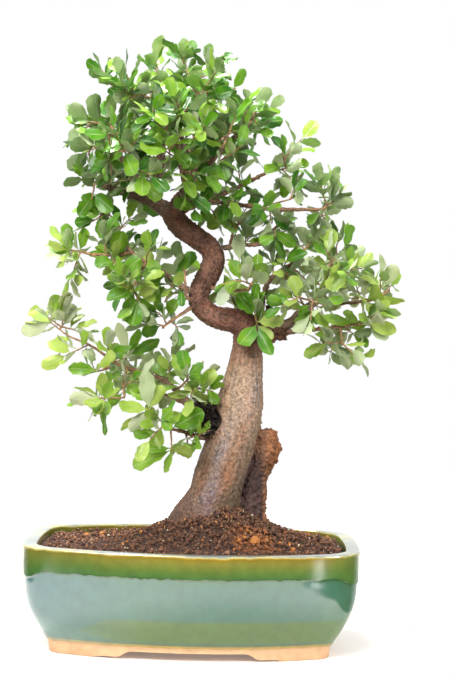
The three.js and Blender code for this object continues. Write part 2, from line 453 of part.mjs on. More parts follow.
// A limb: a tapering tube through its places, with flat ends. fat adds to its radius and to both its ends.
function limb(rows, sides, steps, fat = 0) {
  const frames = framesAlong(rows, steps);
  frames[0].centre.addScaledVector(frames[0].heading, -fat);
  frames[steps].centre.addScaledVector(frames[steps].heading, fat);
  const ring = (row, turn) => {
    const angle = (turn / sides) * 2 * Math.PI;
    const { centre, side, other, radius } = frames[row];
    return centre.clone()
      .addScaledVector(side, (radius + fat) * Math.sin(angle))
      .addScaledVector(other, (radius + fat) * Math.cos(angle));
  };
  return stacked(steps + 1, sides, ring, (row) => frames[row].centre);
}

// The straight stretches of a twig, each with two square directions carried on from the stretch before.
function stretchesOf(places) {
  const stretches = [];
  for (let index = 1; index < places.length; index++) {
    const along = places[index].clone().sub(places[index - 1]);
    const heading = along.clone().normalize();
    const before = stretches[index - 2];
    const turn = new THREE.Quaternion().setFromUnitVectors(before?.heading ?? heading, heading);
    const side = (before?.side ?? START_SIDE).clone().applyQuaternion(turn);
    side.addScaledVector(heading, -side.dot(heading)).normalize();
    const other = heading.clone().cross(side);
    stretches.push({ from: places[index - 1], length: along.length(), heading, side, other });
  }
  return stretches;
}

// A twig: a straight-sided rod with mitred bends, so that each of its sides stays flat.
function twigSolid({ places, stretches, root }) {
  const ring = (row, turn) => {
    const { heading, side, other } = stretches[Math.max(row - 1, 0)];
    const next = stretches[Math.min(row, stretches.length - 1)];
    const angle = (turn / TWIG_SIDES) * 2 * Math.PI;
    const radius = row === 0 ? root : TWIG_RADIUS;
    const offset = side.clone().multiplyScalar(radius * Math.sin(angle));
    offset.addScaledVector(other, radius * Math.cos(angle));
    const cut = heading.clone().add(next.heading);
    return places[row].clone().add(offset).addScaledVector(heading, -offset.dot(cut) / heading.dot(cut));
  };
  return stacked(places.length, TWIG_SIDES, ring, (row) => places[row]);
}

// The place on a twig at a distance along it, with the stretch that it lies on.
function alongTwig({ stretches }, distance) {
  let left = distance;
  let index = 0;
  while (index < stretches.length - 1 && left > stretches[index].length) {
    left -= stretches[index].length;
    index += 1;
  }
  const stretch = stretches[index];
  return { ...stretch, place: stretch.from.clone().addScaledVector(stretch.heading, left) };
}

const placed = (rows) => rows.map(([place, radius]) => [at(place), radius]);

const THICK_LIMBS = [
  [TRUNK, 9, 10], [S_BEND, 15, 9], [STUMP, 7, 8], [BURL, 1, 6], [WOUND, 2, 8], [KNOB, 2, 8],
  [UPPER_STUB, 2, 6],
];
const LIMBS = THICK_LIMBS.map(([rows, steps, sides]) => ({ places: placed(rows), steps, sides }));
for (const rows of Object.values(BRANCHES)) {
  const [, radius] = rows[0];
  const sides = radius > 4.5 ? 6 : radius > 3 ? 5 : radius > 1.6 ? 4 : 3;
  LIMBS.push({ places: placed(rows), steps: rows.length - 1, sides });
}

function makeWood(fat) {
  const limbs = LIMBS.map(({ places, sides, steps }) => limb(places, sides, steps, fat));
  const foot = new THREE.SphereGeometry(1, FOOT.turns, FOOT.rows).rotateX(Math.PI / 2);
  foot.scale(...FOOT.radii.map((radius) => radius + fat)).translate(...FOOT.centre);
  return joined([...limbs, toSolid(foot)]);
}

// Points along the middle of the wood, with the radius there: twigs start from them and leaves keep clear.
function spinePoints(rows, spacing) {
  const curve = curveThrough(rows);
  const count = Math.max(2, Math.ceil(curve.getLength() / spacing));
  return Array.from({ length: count + 1 }, (unused, step) => {
    const share = step / count;
    return { place: curve.getPoint(share), radius: radiusAt(rows, share) };
  });
}

function nearest(points, place) {
  const closer = (a, b) => (b.place.distanceTo(place) < a.place.distanceTo(place) ? b : a);
  return points.reduce(closer);
}

// The outline of a leaf: half width as a share of the full half width, at a share of the length.
function outline(share) {
  if (share <= STALK_SHARE) return 0;
  const along = (share - STALK_SHARE) / (1 - STALK_SHARE);
  const { widest, lower, upper, tip } = EGG;
  if (along < widest) return 1 - ((widest - along) / widest) ** lower;
  return (1 - ((along - widest) / (1 - widest)) ** upper) ** tip;
}

// A point on a leaf: share along its length and side from -1 to 1 across it.
function onLeaf(leaf, share, side) {
  const half = (leaf.width / 2) * outline(share);
  return leaf.base.clone()
    .addScaledVector(leaf.axis, leaf.length * share)
    .addScaledVector(leaf.face, -leaf.length * leaf.arch * share * share)
    .addScaledVector(leaf.across, half * side);
}

function samplesOf(leaf) {
  const samples = [];
  for (const share of SAMPLE_SHARES) {
    for (const side of SAMPLE_SIDES) samples.push(onLeaf(leaf, share, side));
  }
  return samples;
}

function makeLeaf(spray, base, axis, face, length, width, arch, tone) {
  const facing = face.clone().addScaledVector(axis, -face.dot(axis)).normalize();
  const across = facing.clone().cross(axis);
  const leaf = { spray, base, axis, face: facing, across, length, width, arch, tone };
  leaf.samples = samplesOf(leaf);
  leaf.middle = onLeaf(leaf, MIDDLE_SHARE, 0);
  return leaf;
}

// The k-th leaf of a twig, by the spiral rule with seeded draws.
function drawnLeaf(spray, twig, order, count, draw) {
  const last = Math.max(count - 1, 1);
  const back = (twig.last - twig.first) * ((count - 1 - order) / last) ** SPIRAL.crowding;
  const { place: base, heading, side, other } = alongTwig(twig, twig.last - back);
  const spiral = SPIRAL.start + (twig.phase + order) * SPIRAL.turn + SPIRAL.spread * (draw() - 0.5);
  const around = THREE.MathUtils.degToRad(spiral);
  const lean = TILT.first - TILT.drop * (order / last) + TILT.spread * (draw() - 0.5);
  const tilt = THREE.MathUtils.degToRad(lean);
  const radial = side.clone().multiplyScalar(Math.sin(around)).addScaledVector(other, Math.cos(around));
  const axis = heading.clone().multiplyScalar(Math.cos(tilt)).addScaledVector(radial, Math.sin(tilt));
  axis.addScaledVector(UP, TILT.lift).normalize();
  const face = heading.clone().multiplyScalar(FACING.heading).addScaledVector(UP, FACING.up);
  const shake = new THREE.Vector3(draw() - 0.5, draw() - 0.5, draw() - 0.5);
  face.addScaledVector(shake, FACING.spread);
  const tip = order === count - 1 ? LENGTH_DRAW.atTip : 1;
  const length = twig.leafLength * (LENGTH_DRAW.least + LENGTH_DRAW.spread * draw()) * tip;
  const width = length * (WIDTH_DRAW.least + WIDTH_DRAW.spread * draw());
  const arch = ARCH_DRAW.least + ARCH_DRAW.spread * draw();
  const young = order > count - TONE_DRAW.oldFrom ? TONE_DRAW.young : 0;
  const tone = THREE.MathUtils.clamp(spray.tone + TONE_DRAW.spread * (draw() - 0.5) + young, 0, 1);
  return makeLeaf(spray.name, base, axis, face, length, width, arch, tone);
}

function listedLeaf(spray, spine, [tip, width, turn, tone]) {
  const end = at(tip);
  const base = nearest(spine, end).place.clone();
  const axis = end.clone().sub(base);
  const length = axis.length();
  axis.normalize();
  const face = TO_VIEWER.clone().addScaledVector(UP, LISTED_LIFT);
  face.addScaledVector(axis, -face.dot(axis)).normalize();
  face.applyAxisAngle(axis, THREE.MathUtils.degToRad(turn));
  return makeLeaf(spray.name, base, axis, face, length, width, LISTED_ARCH, tone);
}

// True where a leaf keeps its distance from the leaves already placed and from the wood.
function isClear(leaf, leaves, wood) {
  for (const other of leaves) {
    const reach = (leaf.length + other.length) * NEAR_LEAF + NEAR_SPARE;
    if (other.middle.distanceTo(leaf.middle) > reach) continue;
    const own = other.spray === leaf.spray;
    const least = (own ? OWN_CLEARANCE : LEAF_CLEARANCE) ** 2;
    const from = own ? OWN_SAMPLES_FROM : 0;
    for (let index = from; index < leaf.samples.length; index++) {
      for (let match = from; match < other.samples.length; match++) {
        if (leaf.samples[index].distanceToSquared(other.samples[match]) < least) return false;
      }
    }
  }
  for (const { place, radius, spray } of wood) {
    const reach = leaf.length * NEAR_WOOD + radius + NEAR_SPARE;
    if (spray === leaf.spray || place.distanceTo(leaf.middle) > reach) continue;
    const least = (radius + WOOD_CLEARANCE) ** 2;
    if (leaf.samples.some((sample) => sample.distanceToSquared(place) < least)) return false;
  }
  return true;
}

// Twigs first, all of them, then the leaves, one twig after another. The first twig of a spray starts
// inside the nearest wood from which it runs clear of other wood and twigs. A side twig starts inside it.
const WOOD_SPINE = LIMBS.flatMap(({ places }) => spinePoints(places, WOOD_SPACING));
const twigSpine = [];

function isPast(place, margin) {
  return WOOD_SPINE.every((wood) => wood.place.distanceTo(place) > wood.radius + margin);
}

function twigFrom(start, ends) {
  const places = [start.place.clone(), ...ends];
  const stretches = stretchesOf(places);
  const length = stretches.reduce((sum, stretch) => sum + stretch.length, 0);
  const steps = Math.floor((length - 1) / SPINE_STEP);
  const pointAt = (unused, step) => alongTwig({ stretches }, step * SPINE_STEP).place;
  const points = Array.from({ length: steps + 1 }, pointAt);
  return { start, places, stretches, length, points };
}

function runsClear({ points }, spray) {
  const firstFree = points.findIndex((point) => isPast(point, FREE_MARGIN));
  if (firstFree < 0 || !points.slice(firstFree).every((point) => isPast(point, FREE_MARGIN))) return false;
  const outside = points.filter((point) => isPast(point, -TWIG_RADIUS));
  return outside.every((point) => twigSpine.every((other) => (
    other.spray === spray || other.place.distanceTo(point) > TWIG_CLEARANCE)));
}

function growTwig(spray, [count, leafLength, ...route], index) {
  const ends = route.map(at);
  const near = [...(index === 0 ? WOOD_SPINE : spray.spine)];
  near.sort((a, b) => a.place.distanceTo(ends[0]) - b.place.distanceTo(ends[0]));
  const options = near.slice(0, STARTS_TRIED).map((start) => twigFrom(start, ends));
  const twig = options.find((option) => runsClear(option, spray.name)) ?? options[0];
  const first = Math.max(FIRST_SHARE * twig.length, twig.start.radius + BARE_FOOT);
  const root = index === 0 ? TWIG_RADIUS : SIDE_TWIG_ROOT;
  const phase = spray.order + index;
  spray.twigs.push({ ...twig, root, count, leafLength, first, last: twig.length - TWIG_END, phase });
  for (const place of twig.points.filter((one) => isPast(one, -TWIG_RADIUS))) {
    const point = { place, radius: TWIG_RADIUS, spray: spray.name };
    twigSpine.push(point);
    if (isPast(place, FREE_MARGIN)) spray.spine.push(point);
  }
}

const sprays = Object.entries(SPRAYS).map(([name, { tone, twigs, leaves = [] }], order) => {
  const spray = { name, tone, order, twigs: [], listed: leaves, spine: [] };
  twigs.forEach((row, index) => growTwig(spray, row, index));
  return spray;
});
const allWood = [...WOOD_SPINE, ...twigSpine];

function growLeaves() {
  const leaves = [];
  for (const spray of sprays) {
    for (const row of spray.listed) leaves.push(listedLeaf(spray, spray.spine, row));
  }
  for (const spray of sprays) {
    spray.twigs.forEach((twig, index) => {
      for (let order = 0; order < twig.count; order++) {
        const draw = drawsFor((spray.order + 1) * 1000 + index * 100 + order + 1);
        for (let attempt = 0; attempt < SPARE_TRIES; attempt++) {
          const leaf = drawnLeaf(spray, twig, order, twig.count, draw);
          if (isClear(leaf, leaves, allWood)) {
            leaves.push(leaf);
            break;
          }
        }
      }
    });
  }
  return leaves;
}

// A blade: a box with a few cross cuts, bent onto the leaf, with both faces split alike.
function bladeSolid(leaf) {
  const geometry = new THREE.BoxGeometry(2, 1, 1, 1, 1, BLADE_STATIONS.length - 1);
  const points = geometry.attributes.position;
  for (let index = 0; index < points.count; index++) {
    const station = Math.round((points.getZ(index) + 0.5) * (BLADE_STATIONS.length - 1));
    const share = BLADE_STATIONS[station];
    const place = onLeaf(leaf, share, share === 1 ? 0 : points.getX(index));
    place.addScaledVector(leaf.face, points.getY(index) * BLADE_THICKNESS);
    points.setXYZ(index, place.x, place.y, place.z);
  }
  return toSolid(geometry);
}

function largestPart(solid) {
  const parts = solid.decompose();
  return parts.reduce((best, part) => (part.volume() > best.volume() ? part : best));
}

function overlaps(first, second, margin) {
  const a = first.boundingBox();
  const b = second.boundingBox();
  const meets = (axis) => a.min[axis] - margin < b.max[axis] && b.min[axis] - margin < a.max[axis];
  return [0, 1, 2].every(meets);
}

function clearOf(solid, others) {
  return others.every((other) => !overlaps(solid, other, GAP) || solid.minGap(other, 1) >= LEAST_GAP);
}

const POT_MATERIAL = { color: 0x7f8f4a, roughness: 0.15, metalness: 0 };
const SOIL_MATERIAL = { color: 0x4f3527, roughness: 0.95, metalness: 0 };
const BARK_MATERIAL = { color: 0x8c6c5a, roughness: 0.85, metalness: 0 };
const LEAF_COLOURS = [[0.45, 0x2f5a2a], [0.69, 0x4c8232], [1, 0x86b436]];

const tree = new THREE.Group();

function addPiece(name, solid, material) {
  const mesh = new THREE.Mesh(toGeometry(solid), new THREE.MeshStandardMaterial(material));
  mesh.name = name;
  tree.add(mesh);
}

const leaves = growLeaves();
const thinWood = makeWood(0);
const fatWood = makeWood(HOLE_MARGIN);

addPiece('pot', makePot(), POT_MATERIAL);
addPiece('soil', makeSoil(fatWood), SOIL_MATERIAL);
addPiece('trunk', largestPart(thinWood).simplify(TRIM), BARK_MATERIAL);

const twigSolids = sprays.map((spray) => joined(spray.twigs.map(twigSolid)));
const standing = [];
sprays.forEach((spray, order) => {
  const others = twigSolids.filter((twig, index) => index !== order);
  const kept = [];
  for (const leaf of leaves.filter((one) => one.spray === spray.name)) {
    const blade = bladeSolid(leaf);
    if (clearOf(blade, [...standing, ...others])) kept.push(blade);
  }
  const whole = joined([twigSolids[order], ...kept]).subtract(fatWood);
  const solid = largestPart(whole).simplify(TRIM);
  standing.push(solid);
  const color = LEAF_COLOURS.find(([most]) => spray.tone <= most)[1];
  addPiece(`spray_${spray.name}`, solid, { color, roughness: 0.45, metalness: 0 });
});

const box = new THREE.Box3().setFromObject(tree);
tree.position.set(-(box.min.x + box.max.x) / 2, -(box.min.y + box.max.y) / 2, -box.min.z);

export default tree;
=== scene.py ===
# %% [markdown]
# # Evergreen oak bonsai in a glazed pot
# A small evergreen oak, trained for years in a long glazed pot. The lesson goes from the ground up: the
# view and the light, the pot, the soil, the wood and last the leafy sprays. Places are in millimetres,
# measured from the middle of the pot's foot, with X to the right, Y away from the viewer and Z up.

# %% Start
import math

import bmesh
import bpy
import numpy as np
from mathutils import Matrix, Vector, noise


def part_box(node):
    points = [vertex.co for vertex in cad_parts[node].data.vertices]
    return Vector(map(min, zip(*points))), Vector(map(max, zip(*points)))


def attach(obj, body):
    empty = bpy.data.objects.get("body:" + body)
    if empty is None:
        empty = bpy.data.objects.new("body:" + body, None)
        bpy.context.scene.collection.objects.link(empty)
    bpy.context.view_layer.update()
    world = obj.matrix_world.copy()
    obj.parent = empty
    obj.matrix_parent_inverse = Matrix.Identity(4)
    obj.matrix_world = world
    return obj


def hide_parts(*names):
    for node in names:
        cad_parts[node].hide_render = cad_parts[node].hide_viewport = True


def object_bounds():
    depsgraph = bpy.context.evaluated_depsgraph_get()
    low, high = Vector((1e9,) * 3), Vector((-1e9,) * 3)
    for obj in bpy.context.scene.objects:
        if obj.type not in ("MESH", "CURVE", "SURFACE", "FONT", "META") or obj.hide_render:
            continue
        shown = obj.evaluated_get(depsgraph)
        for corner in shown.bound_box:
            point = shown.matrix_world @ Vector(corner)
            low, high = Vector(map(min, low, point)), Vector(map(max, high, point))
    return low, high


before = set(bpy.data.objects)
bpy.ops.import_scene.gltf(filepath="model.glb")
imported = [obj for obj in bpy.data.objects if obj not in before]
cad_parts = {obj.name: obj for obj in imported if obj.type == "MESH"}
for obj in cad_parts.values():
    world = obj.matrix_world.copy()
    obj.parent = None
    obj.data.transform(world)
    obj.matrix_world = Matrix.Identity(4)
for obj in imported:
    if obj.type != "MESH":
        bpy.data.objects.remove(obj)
cad_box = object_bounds()
pot_low, pot_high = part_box("pot")
POT_SHIFT = (pot_low.x + pot_high.x) / 2 * 1000
TO_METRES = Matrix.Scale(0.001, 4) @ Matrix.Translation((POT_SHIFT, 0, 0))
low_mm, high_mm = (np.array(corner) * 1000 - (POT_SHIFT, 0, 0) for corner in cad_box)
print("the tree and pot in mm:", low_mm.round(1), high_mm.round(1))

# %% [markdown]
# ## The camera
# The photograph was taken with a longish lens from a little over a metre away, level with the middle of the
# tree, and held about one and a half degrees off straight. A longer or shorter lens would change how much
# of the pot's inner wall shows behind the soil, so its distance is set first and the focal length follows
# from it.

# %% Camera
EYE = Vector((24, -1300, 267.5))
PICTURE_HEIGHT = 675
FOCAL_PIXELS = 1479.8
ROLL = math.radians(1.4)
SENSOR = 36


def in_scene(name, data):
    """A new object with this data, linked to the scene."""
    made = bpy.data.objects.new(name, data)
    bpy.context.scene.collection.objects.link(made)
    return made


camera = in_scene("camera", bpy.data.cameras.new("camera"))
camera.data.sensor_width = SENSOR
camera.data.lens = FOCAL_PIXELS / PICTURE_HEIGHT * SENSOR
camera.matrix_world = (Matrix.Translation(TO_METRES @ EYE) @ Matrix.Rotation(math.pi / 2, 4, "X")
                       @ Matrix.Rotation(ROLL, 4, "Z"))
bpy.context.scene.camera = camera
print("focal length in mm:", round(camera.data.lens, 1))

# %% [markdown]
# ## A helper for colours and nodes
# Colours are written as they would be picked on a screen and turned into linear light for the shader. The
# photograph is exposed so brightly that white paper burns out, so what it shows as a colour is a darker one
# under a strong light: this is also why gloss looks so pale on it. Every node is added by one small
# function, which sets its choices and its sockets and links what is passed as a node.

# %% Colours and nodes
BRIGHTNESS = 1.7


def linear(code):
    """A screen colour such as 8a6e4f as the linear red, green, blue and alpha of what is lit."""
    parts = [int(code[start:start + 2], 16) / 255 for start in (0, 2, 4)]
    parts = [part / 12.92 if part <= 0.04045 else ((part + 0.055) / 1.055) ** 2.4 for part in parts]
    return [part / BRIGHTNESS for part in parts] + [1]


def add(tree, kind, inputs=None, stops=None, **choices):
    """Adds a node. An input is a value, a screen colour, a socket, or a node whose first output is meant."""
    node = tree.nodes.new(kind)
    for name, value in choices.items():
        setattr(node, name, value)
    for index, (place, code) in enumerate(stops or []):
        elements = node.color_ramp.elements
        stop = elements[index] if index < 2 else elements.new(place)
        stop.position, stop.color = place, linear(code)
    for name, value in (inputs or {}).items():
        socket = node.inputs[name]
        if isinstance(value, bpy.types.Node):
            value = value.outputs[0]
        if isinstance(value, bpy.types.NodeSocket):
            tree.links.new(value, socket)
        else:
            socket.default_value = linear(value) if isinstance(value, str) else value
    return node


def new_material(name):
    """An empty material with its output, ready for its nodes."""
    material = bpy.data.materials.new(name)
    material.use_nodes = True
    material.node_tree.nodes.clear()
    return material, material.node_tree


def show(tree, shader):
    """Links a shader to the material's output."""
    add(tree, "ShaderNodeOutputMaterial", {"Surface": shader})

# %% [markdown]
# ## Floor and light
# The tree stands on a white table before a white wall. The table is burnt out to pure white but for the
# shadow right under the pot. Behind the viewer the room is darker, and the upright band of the pot mirrors
# it, while the leaning wall below mirrors the table: hence the pale veil there. At its two front corners
# the table ends early, on the right close to the pot, so the right corner of the pot shows its own green.
# The main light hangs overhead, a large soft one stands in front on the left, and a smaller one like a
# window on the right. A faint low one is only there to be mirrored as a streak in the band's right end.

# %% Floor
FLOOR_FRONT, FLOOR_BACK, FLOOR_SIDE = -305, 1500, 1500
NOTCH_LEFT, NOTCH_RIGHT, NOTCH_Y = -375, 205, 300
ground = bmesh.new()
bmesh.ops.create_grid(ground, x_segments=1, y_segments=1, size=1)
bmesh.ops.scale(ground, vec=(FLOOR_SIDE, (FLOOR_BACK - FLOOR_FRONT) / 2, 1), verts=ground.verts)
bmesh.ops.translate(ground, vec=(0, (FLOOR_BACK + FLOOR_FRONT) / 2, 0), verts=ground.verts)
cuts = [((NOTCH_LEFT, 0, 0), (1, 0, 0)), ((NOTCH_RIGHT, 0, 0), (1, 0, 0)), ((0, NOTCH_Y, 0), (0, 1, 0))]
for edge_at, across in cuts:
    bmesh.ops.bisect_plane(ground, geom=ground.verts[:] + ground.edges[:] + ground.faces[:],
                           plane_co=edge_at, plane_no=across)
corners = [face for face in ground.faces if face.calc_center_median().y < NOTCH_Y
           and not NOTCH_LEFT < face.calc_center_median().x < NOTCH_RIGHT]
bmesh.ops.delete(ground, geom=corners, context="FACES")
ground.transform(TO_METRES)
floor = in_scene("floor", bpy.data.meshes.new("floor"))
ground.to_mesh(floor.data)
ground.free()
TABLE_WHITE, TABLE_GLOW, TABLE_GLOW_STRENGTH = (0.78, 0.73, 0.69, 1), (1, 0.99, 0.98, 1), 0.15
white_table, tree = new_material("white_table")
show(tree, add(tree, "ShaderNodeBsdfPrincipled", {
    "Base Color": TABLE_WHITE, "Roughness": 0.6, "Emission Color": TABLE_GLOW,
    "Emission Strength": TABLE_GLOW_STRENGTH}))
floor.data.materials.append(white_table)

# %% Room and lights
ROOM_STRENGTH = 1.15
room = bpy.data.worlds.new("room")
bpy.context.scene.world = room
room.use_nodes = True
room.node_tree.nodes.clear()
tree = room.node_tree
toward = add(tree, "ShaderNodeSeparateXYZ", {0: add(tree, "ShaderNodeTexCoord").outputs["Generated"]})
upward = add(tree, "ShaderNodeMapRange", {0: toward.outputs["Z"], 1: -1.0, 2: 1.0})
front = add(tree, "ShaderNodeValToRGB", {0: upward}, [
    (0, "4c4841"), (1, "ffffff"), (0.42, "5e5b52"), (0.5, "7a7974"), (0.58, "b0b3b4"), (0.72, "f0f2f4")])
behind = add(tree, "ShaderNodeMapRange", {0: toward.outputs["Y"], 1: 0.3, 2: 0.75})
shade = add(tree, "ShaderNodeMix", {0: behind, 6: front, 7: "fbfdff"}, data_type="RGBA")
seen = add(tree, "ShaderNodeBackground", {"Color": (1, 1, 1, 1), "Strength": 1.0})
lit = add(tree, "ShaderNodeBackground", {"Color": shade.outputs[2], "Strength": ROOM_STRENGTH * BRIGHTNESS})
mixed = add(tree, "ShaderNodeMixShader",
            {0: add(tree, "ShaderNodeLightPath").outputs["Is Camera Ray"], 1: lit, 2: seen})
add(tree, "ShaderNodeOutputWorld", {"Surface": mixed})


def panel(name, place, target, size, power):
    """A soft rectangular light in mm, turned to face its target."""
    lamp = in_scene(name, bpy.data.lights.new(name, "AREA"))
    lamp.data.shape = "RECTANGLE"
    lamp.data.size, lamp.data.size_y = size[0] / 1000, size[1] / 1000
    lamp.data.energy = power
    turn = (Vector(target) - Vector(place)).to_track_quat("-Z", "Y").to_matrix().to_4x4()
    lamp.matrix_world = Matrix.Translation(TO_METRES @ Vector(place)) @ turn


panel("overhead", (-220, 150, 1500), (0, 0, 100), (260, 260), 46)
panel("softbox", (-600, -1100, 1200), (0, 0, 250), (1000, 700), 40)
panel("window", (1050, -800, 560), (60, 0, 120), (200, 420), 12)
panel("low_window", (885, -955, -270), (105, -88, 80), (70, 200), 0.35)
bpy.context.scene.view_settings.view_transform = "Standard"
print("lights:", [light.name for light in bpy.data.lights])

# %% [markdown]
# ## From a bmesh to a piece
# Each piece is shaped in millimetres in a bmesh. When it is done it is scaled to metres, so that its object
# can sit unturned at the origin, shaded smooth with its sharp edges kept, and tied to the body that it
# belongs to.

# %% Making a piece
def new_piece(name, data, finishes, nodes, crease=40):
    """Turns mesh data in millimetres into a finished piece."""
    data.transform(TO_METRES)
    data.polygons.foreach_set("use_smooth", [True] * len(data.polygons))
    data.set_sharp_from_angle(angle=math.radians(crease))
    piece = in_scene(name, data)
    for finish in finishes:
        data.materials.append(finish)
    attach(piece, "root")
    if nodes:
        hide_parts(*nodes)
    data.calc_loop_triangles()
    return piece


def mesh_of(name, shape):
    """The mesh data of a bmesh, which is then let go."""
    data = bpy.data.meshes.new(name)
    shape.to_mesh(data)
    shape.free()
    return data


def parts_of(made, kind):
    """The vertices, edges or faces among what a bmesh operator made."""
    return [part for part in made["geom"] if isinstance(part, kind)]


def curve(rows, shares):
    """Points of a smooth curve through rows of numbers, at shares from 0 to 1."""
    rows = np.array(rows, float)
    rows = np.vstack([2 * rows[0] - rows[1], rows, 2 * rows[-1] - rows[-2]])
    spans = len(rows) - 3
    along = np.asarray(shares, float) * spans
    first = np.minimum(along.astype(int), spans - 1)
    step = (along - first)[:, None]
    before, start, end, after = (rows[first + offset] for offset in range(4))
    leave, arrive = 0.5 * (end - before), 0.5 * (after - start)
    bend, swing = -3 * start + 3 * end - 2 * leave - arrive, 2 * start - 2 * end + leave + arrive
    return start + step * (leave + step * (bend + step * swing))

# %% [markdown]
# ## The pot
# The pot is slip-cast stoneware: four bowed sides, round corners, an upright band under a flat rim, and a
# wall that draws in to a bare foot. The plan is the same at every height, so a ring of points is laid out
# once and then extruded from row to row, each time moved out to the next half length and half depth.
# Further down the corners get squarer, and along the short sides the foot of the band sags by some
# millimetres. Rows across the walls come from a smooth curve, and rows close together make the rounded
# edges of the rim and the band.

# %% The pot's plan
LONG_BOW, SHORT_BOW, CORNER_RADIUS, FOOT_CORNER_RADIUS = 330, 700, 34, 19
HALF_LENGTH, HALF_DEPTH = 144.5, 105
SAG_FROM, SAG_TO = 0.84, 0.965
PLAN_STEPS = 44, 14, 18


def plan_of_pot(radius, long_steps, corner_steps, short_steps):
    """The plan once round, as shares of the half length and half depth."""
    inner, outer = LONG_BOW - radius, SHORT_BOW - radius
    long_middle, short_middle = HALF_DEPTH - LONG_BOW, HALF_LENGTH - SHORT_BOW
    across = math.hypot(short_middle, long_middle)
    along = (inner ** 2 - outer ** 2 + across ** 2) / (2 * across)
    off = math.sqrt(inner ** 2 - along ** 2)
    corner_x = abs(along * short_middle - off * long_middle) / across
    corner_y = long_middle - (along * long_middle + off * short_middle) / across
    start = math.atan2(corner_x, corner_y - long_middle)
    end = math.atan2(corner_x - short_middle, corner_y)
    arcs = [(0, long_middle, LONG_BOW, 0, start, long_steps),
            (corner_x, corner_y, radius, start, end, corner_steps),
            (short_middle, 0, SHORT_BOW, end, math.pi / 2, short_steps)]
    quarter = []
    for x, y, bow, first, last, steps in arcs:
        for angle in np.linspace(first, last, steps, endpoint=False):
            quarter.append((x + bow * math.sin(angle), y + bow * math.cos(angle)))
    quarter = np.array(quarter + [(HALF_LENGTH, 0)]) / (HALF_LENGTH, HALF_DEPTH)
    half = np.vstack([quarter, quarter[-2::-1] * (1, -1)])
    return np.vstack([half, half[-2:0:-1] * (-1, 1)])


def ring_walls(shape, plan, foot_plan, rows):
    """Extrudes the plan through rows of half length, half depth, height, squareness and sag, closed."""
    turn = shape.verts.layers.int.new("turn")
    level = shape.verts.layers.float.new("level")
    bmesh.ops.create_circle(shape, segments=len(plan), radius=1)
    for index, vert in enumerate(shape.verts):
        vert[turn] = index
    ring, moved = shape.edges[:], shape.verts[:]
    bmesh.ops.edgeloop_fill(shape, edges=ring)
    for index, row in enumerate(rows):
        if index:
            made = bmesh.ops.extrude_edge_only(shape, edges=ring)
            moved, ring = parts_of(made, bmesh.types.BMVert), parts_of(made, bmesh.types.BMEdge)
        half_length, half_depth, height, square, sag = (*row, 0, 0)[:5]
        for vert in moved:
            x, y = plan[vert[turn]] * (1 - square) + foot_plan[vert[turn]] * square
            share = min(max((abs(x) - SAG_FROM) / (SAG_TO - SAG_FROM), 0), 1)
            vert.co = (x * half_length, y * half_depth, height - sag * share * share * (3 - 2 * share))
            vert[level] = height / 1000
    bmesh.ops.edgeloop_fill(shape, edges=ring)
    bmesh.ops.recalc_face_normals(shape, faces=shape.faces)


plan, foot_plan = (plan_of_pot(radius, *PLAN_STEPS) for radius in (CORNER_RADIUS, FOOT_CORNER_RADIUS))
print("points round the pot:", len(plan))

# %% The pot's walls and feet
INNER_WALL = [(104, 74, 19.5), (124, 89, 40), (131.6, 93.4, 70), (132.6, 94.2, 88.6)]
RIM = [(132.8, 94.4, 89.6), (133.2, 94.8, 90.05), (133.8, 95.3, 90.2), (138.5, 99.5, 90.2),
       (143.2, 103.7, 90.2), (143.9, 104.4, 90.05), (144.3, 104.8, 89.6), (144.5, 105, 88.9)]
BAND = [(144.45, 104.95, 87.5, 0, 0.4), (144.2, 104.7, 80, 0, 3), (143.95, 104.5, 73.4, 0, 6),
        (143.88, 104.43, 70.9, 0, 6), (142.75, 103.35, 70.8, 0, 6)]
OUTER_WALL = [(142.6, 103.1, 69.6, 0, 6), (142.2, 102.1, 61, 0.08, 5), (140.9, 100.6, 50, 0.2, 3.6),
              (137.6, 97.9, 38, 0.45, 2), (130.7, 92.6, 24, 0.75, 0.7), (125.6, 89.2, 15.5, 0.9, 0),
              (123.6, 87.8, 11.6, 1, 0)]
PLINTH = [(122.8, 87, 11.0, 1), (121.9, 86.4, 10.5, 1), (121.4, 86, 9.9, 1), (120.6, 84.6, 1.2, 1),
          (119.8, 83.9, 0.3, 1), (118.8, 83, 0, 1), (101, 70, 0), (100, 69, 8.2)]
FRONT_CUT = [(78, -1), (76, 0.9), (73, 1.8), (60, 1.8), (56, 2.7), (52.5, 5.2), (49, 6.9), (45, 7.2)]
SIDE_CUT = [(50, -1), (48, 0.9), (45, 1.8), (38, 1.8), (35, 2.7), (32.5, 5.2), (30, 6.9), (27, 7.2)]
DRAIN_PLACES, DRAIN_RADIUS, DRAIN_LENGTH = (-55, 55), 9, 60
STEP_LEVEL, STEP_REACH, DRIP_HEIGHT, DRIP_WIDTH = 70.6, 4, 1.6, 4.0


def cutter(outline, half_length, turned):
    """A bar with the outline of a foot's cut, mirrored left and right, long enough to go through the pot."""
    bar = bmesh.new()
    mirrored = [(-x, z) for x, z in reversed(outline)]
    edge = [bar.verts.new((x, -half_length, z)) for x, z in outline + mirrored]
    made = bmesh.ops.extrude_face_region(bar, geom=[bar.faces.new(edge)])
    bmesh.ops.translate(bar, vec=(0, 2 * half_length, 0), verts=parts_of(made, bmesh.types.BMVert))
    bmesh.ops.rotate(bar, matrix=Matrix.Rotation(turned, 3, "Z"), verts=bar.verts)
    bmesh.ops.recalc_face_normals(bar, faces=bar.faces)
    return mesh_of("cut", bar)


def settled(piece):
    """Makes what the modifiers show the piece's own mesh."""
    graph = bpy.context.evaluated_depsgraph_get()
    shown = bpy.data.meshes.new_from_object(piece.evaluated_get(graph), depsgraph=graph)
    piece.modifiers.clear()
    piece.data = shown
    return shown


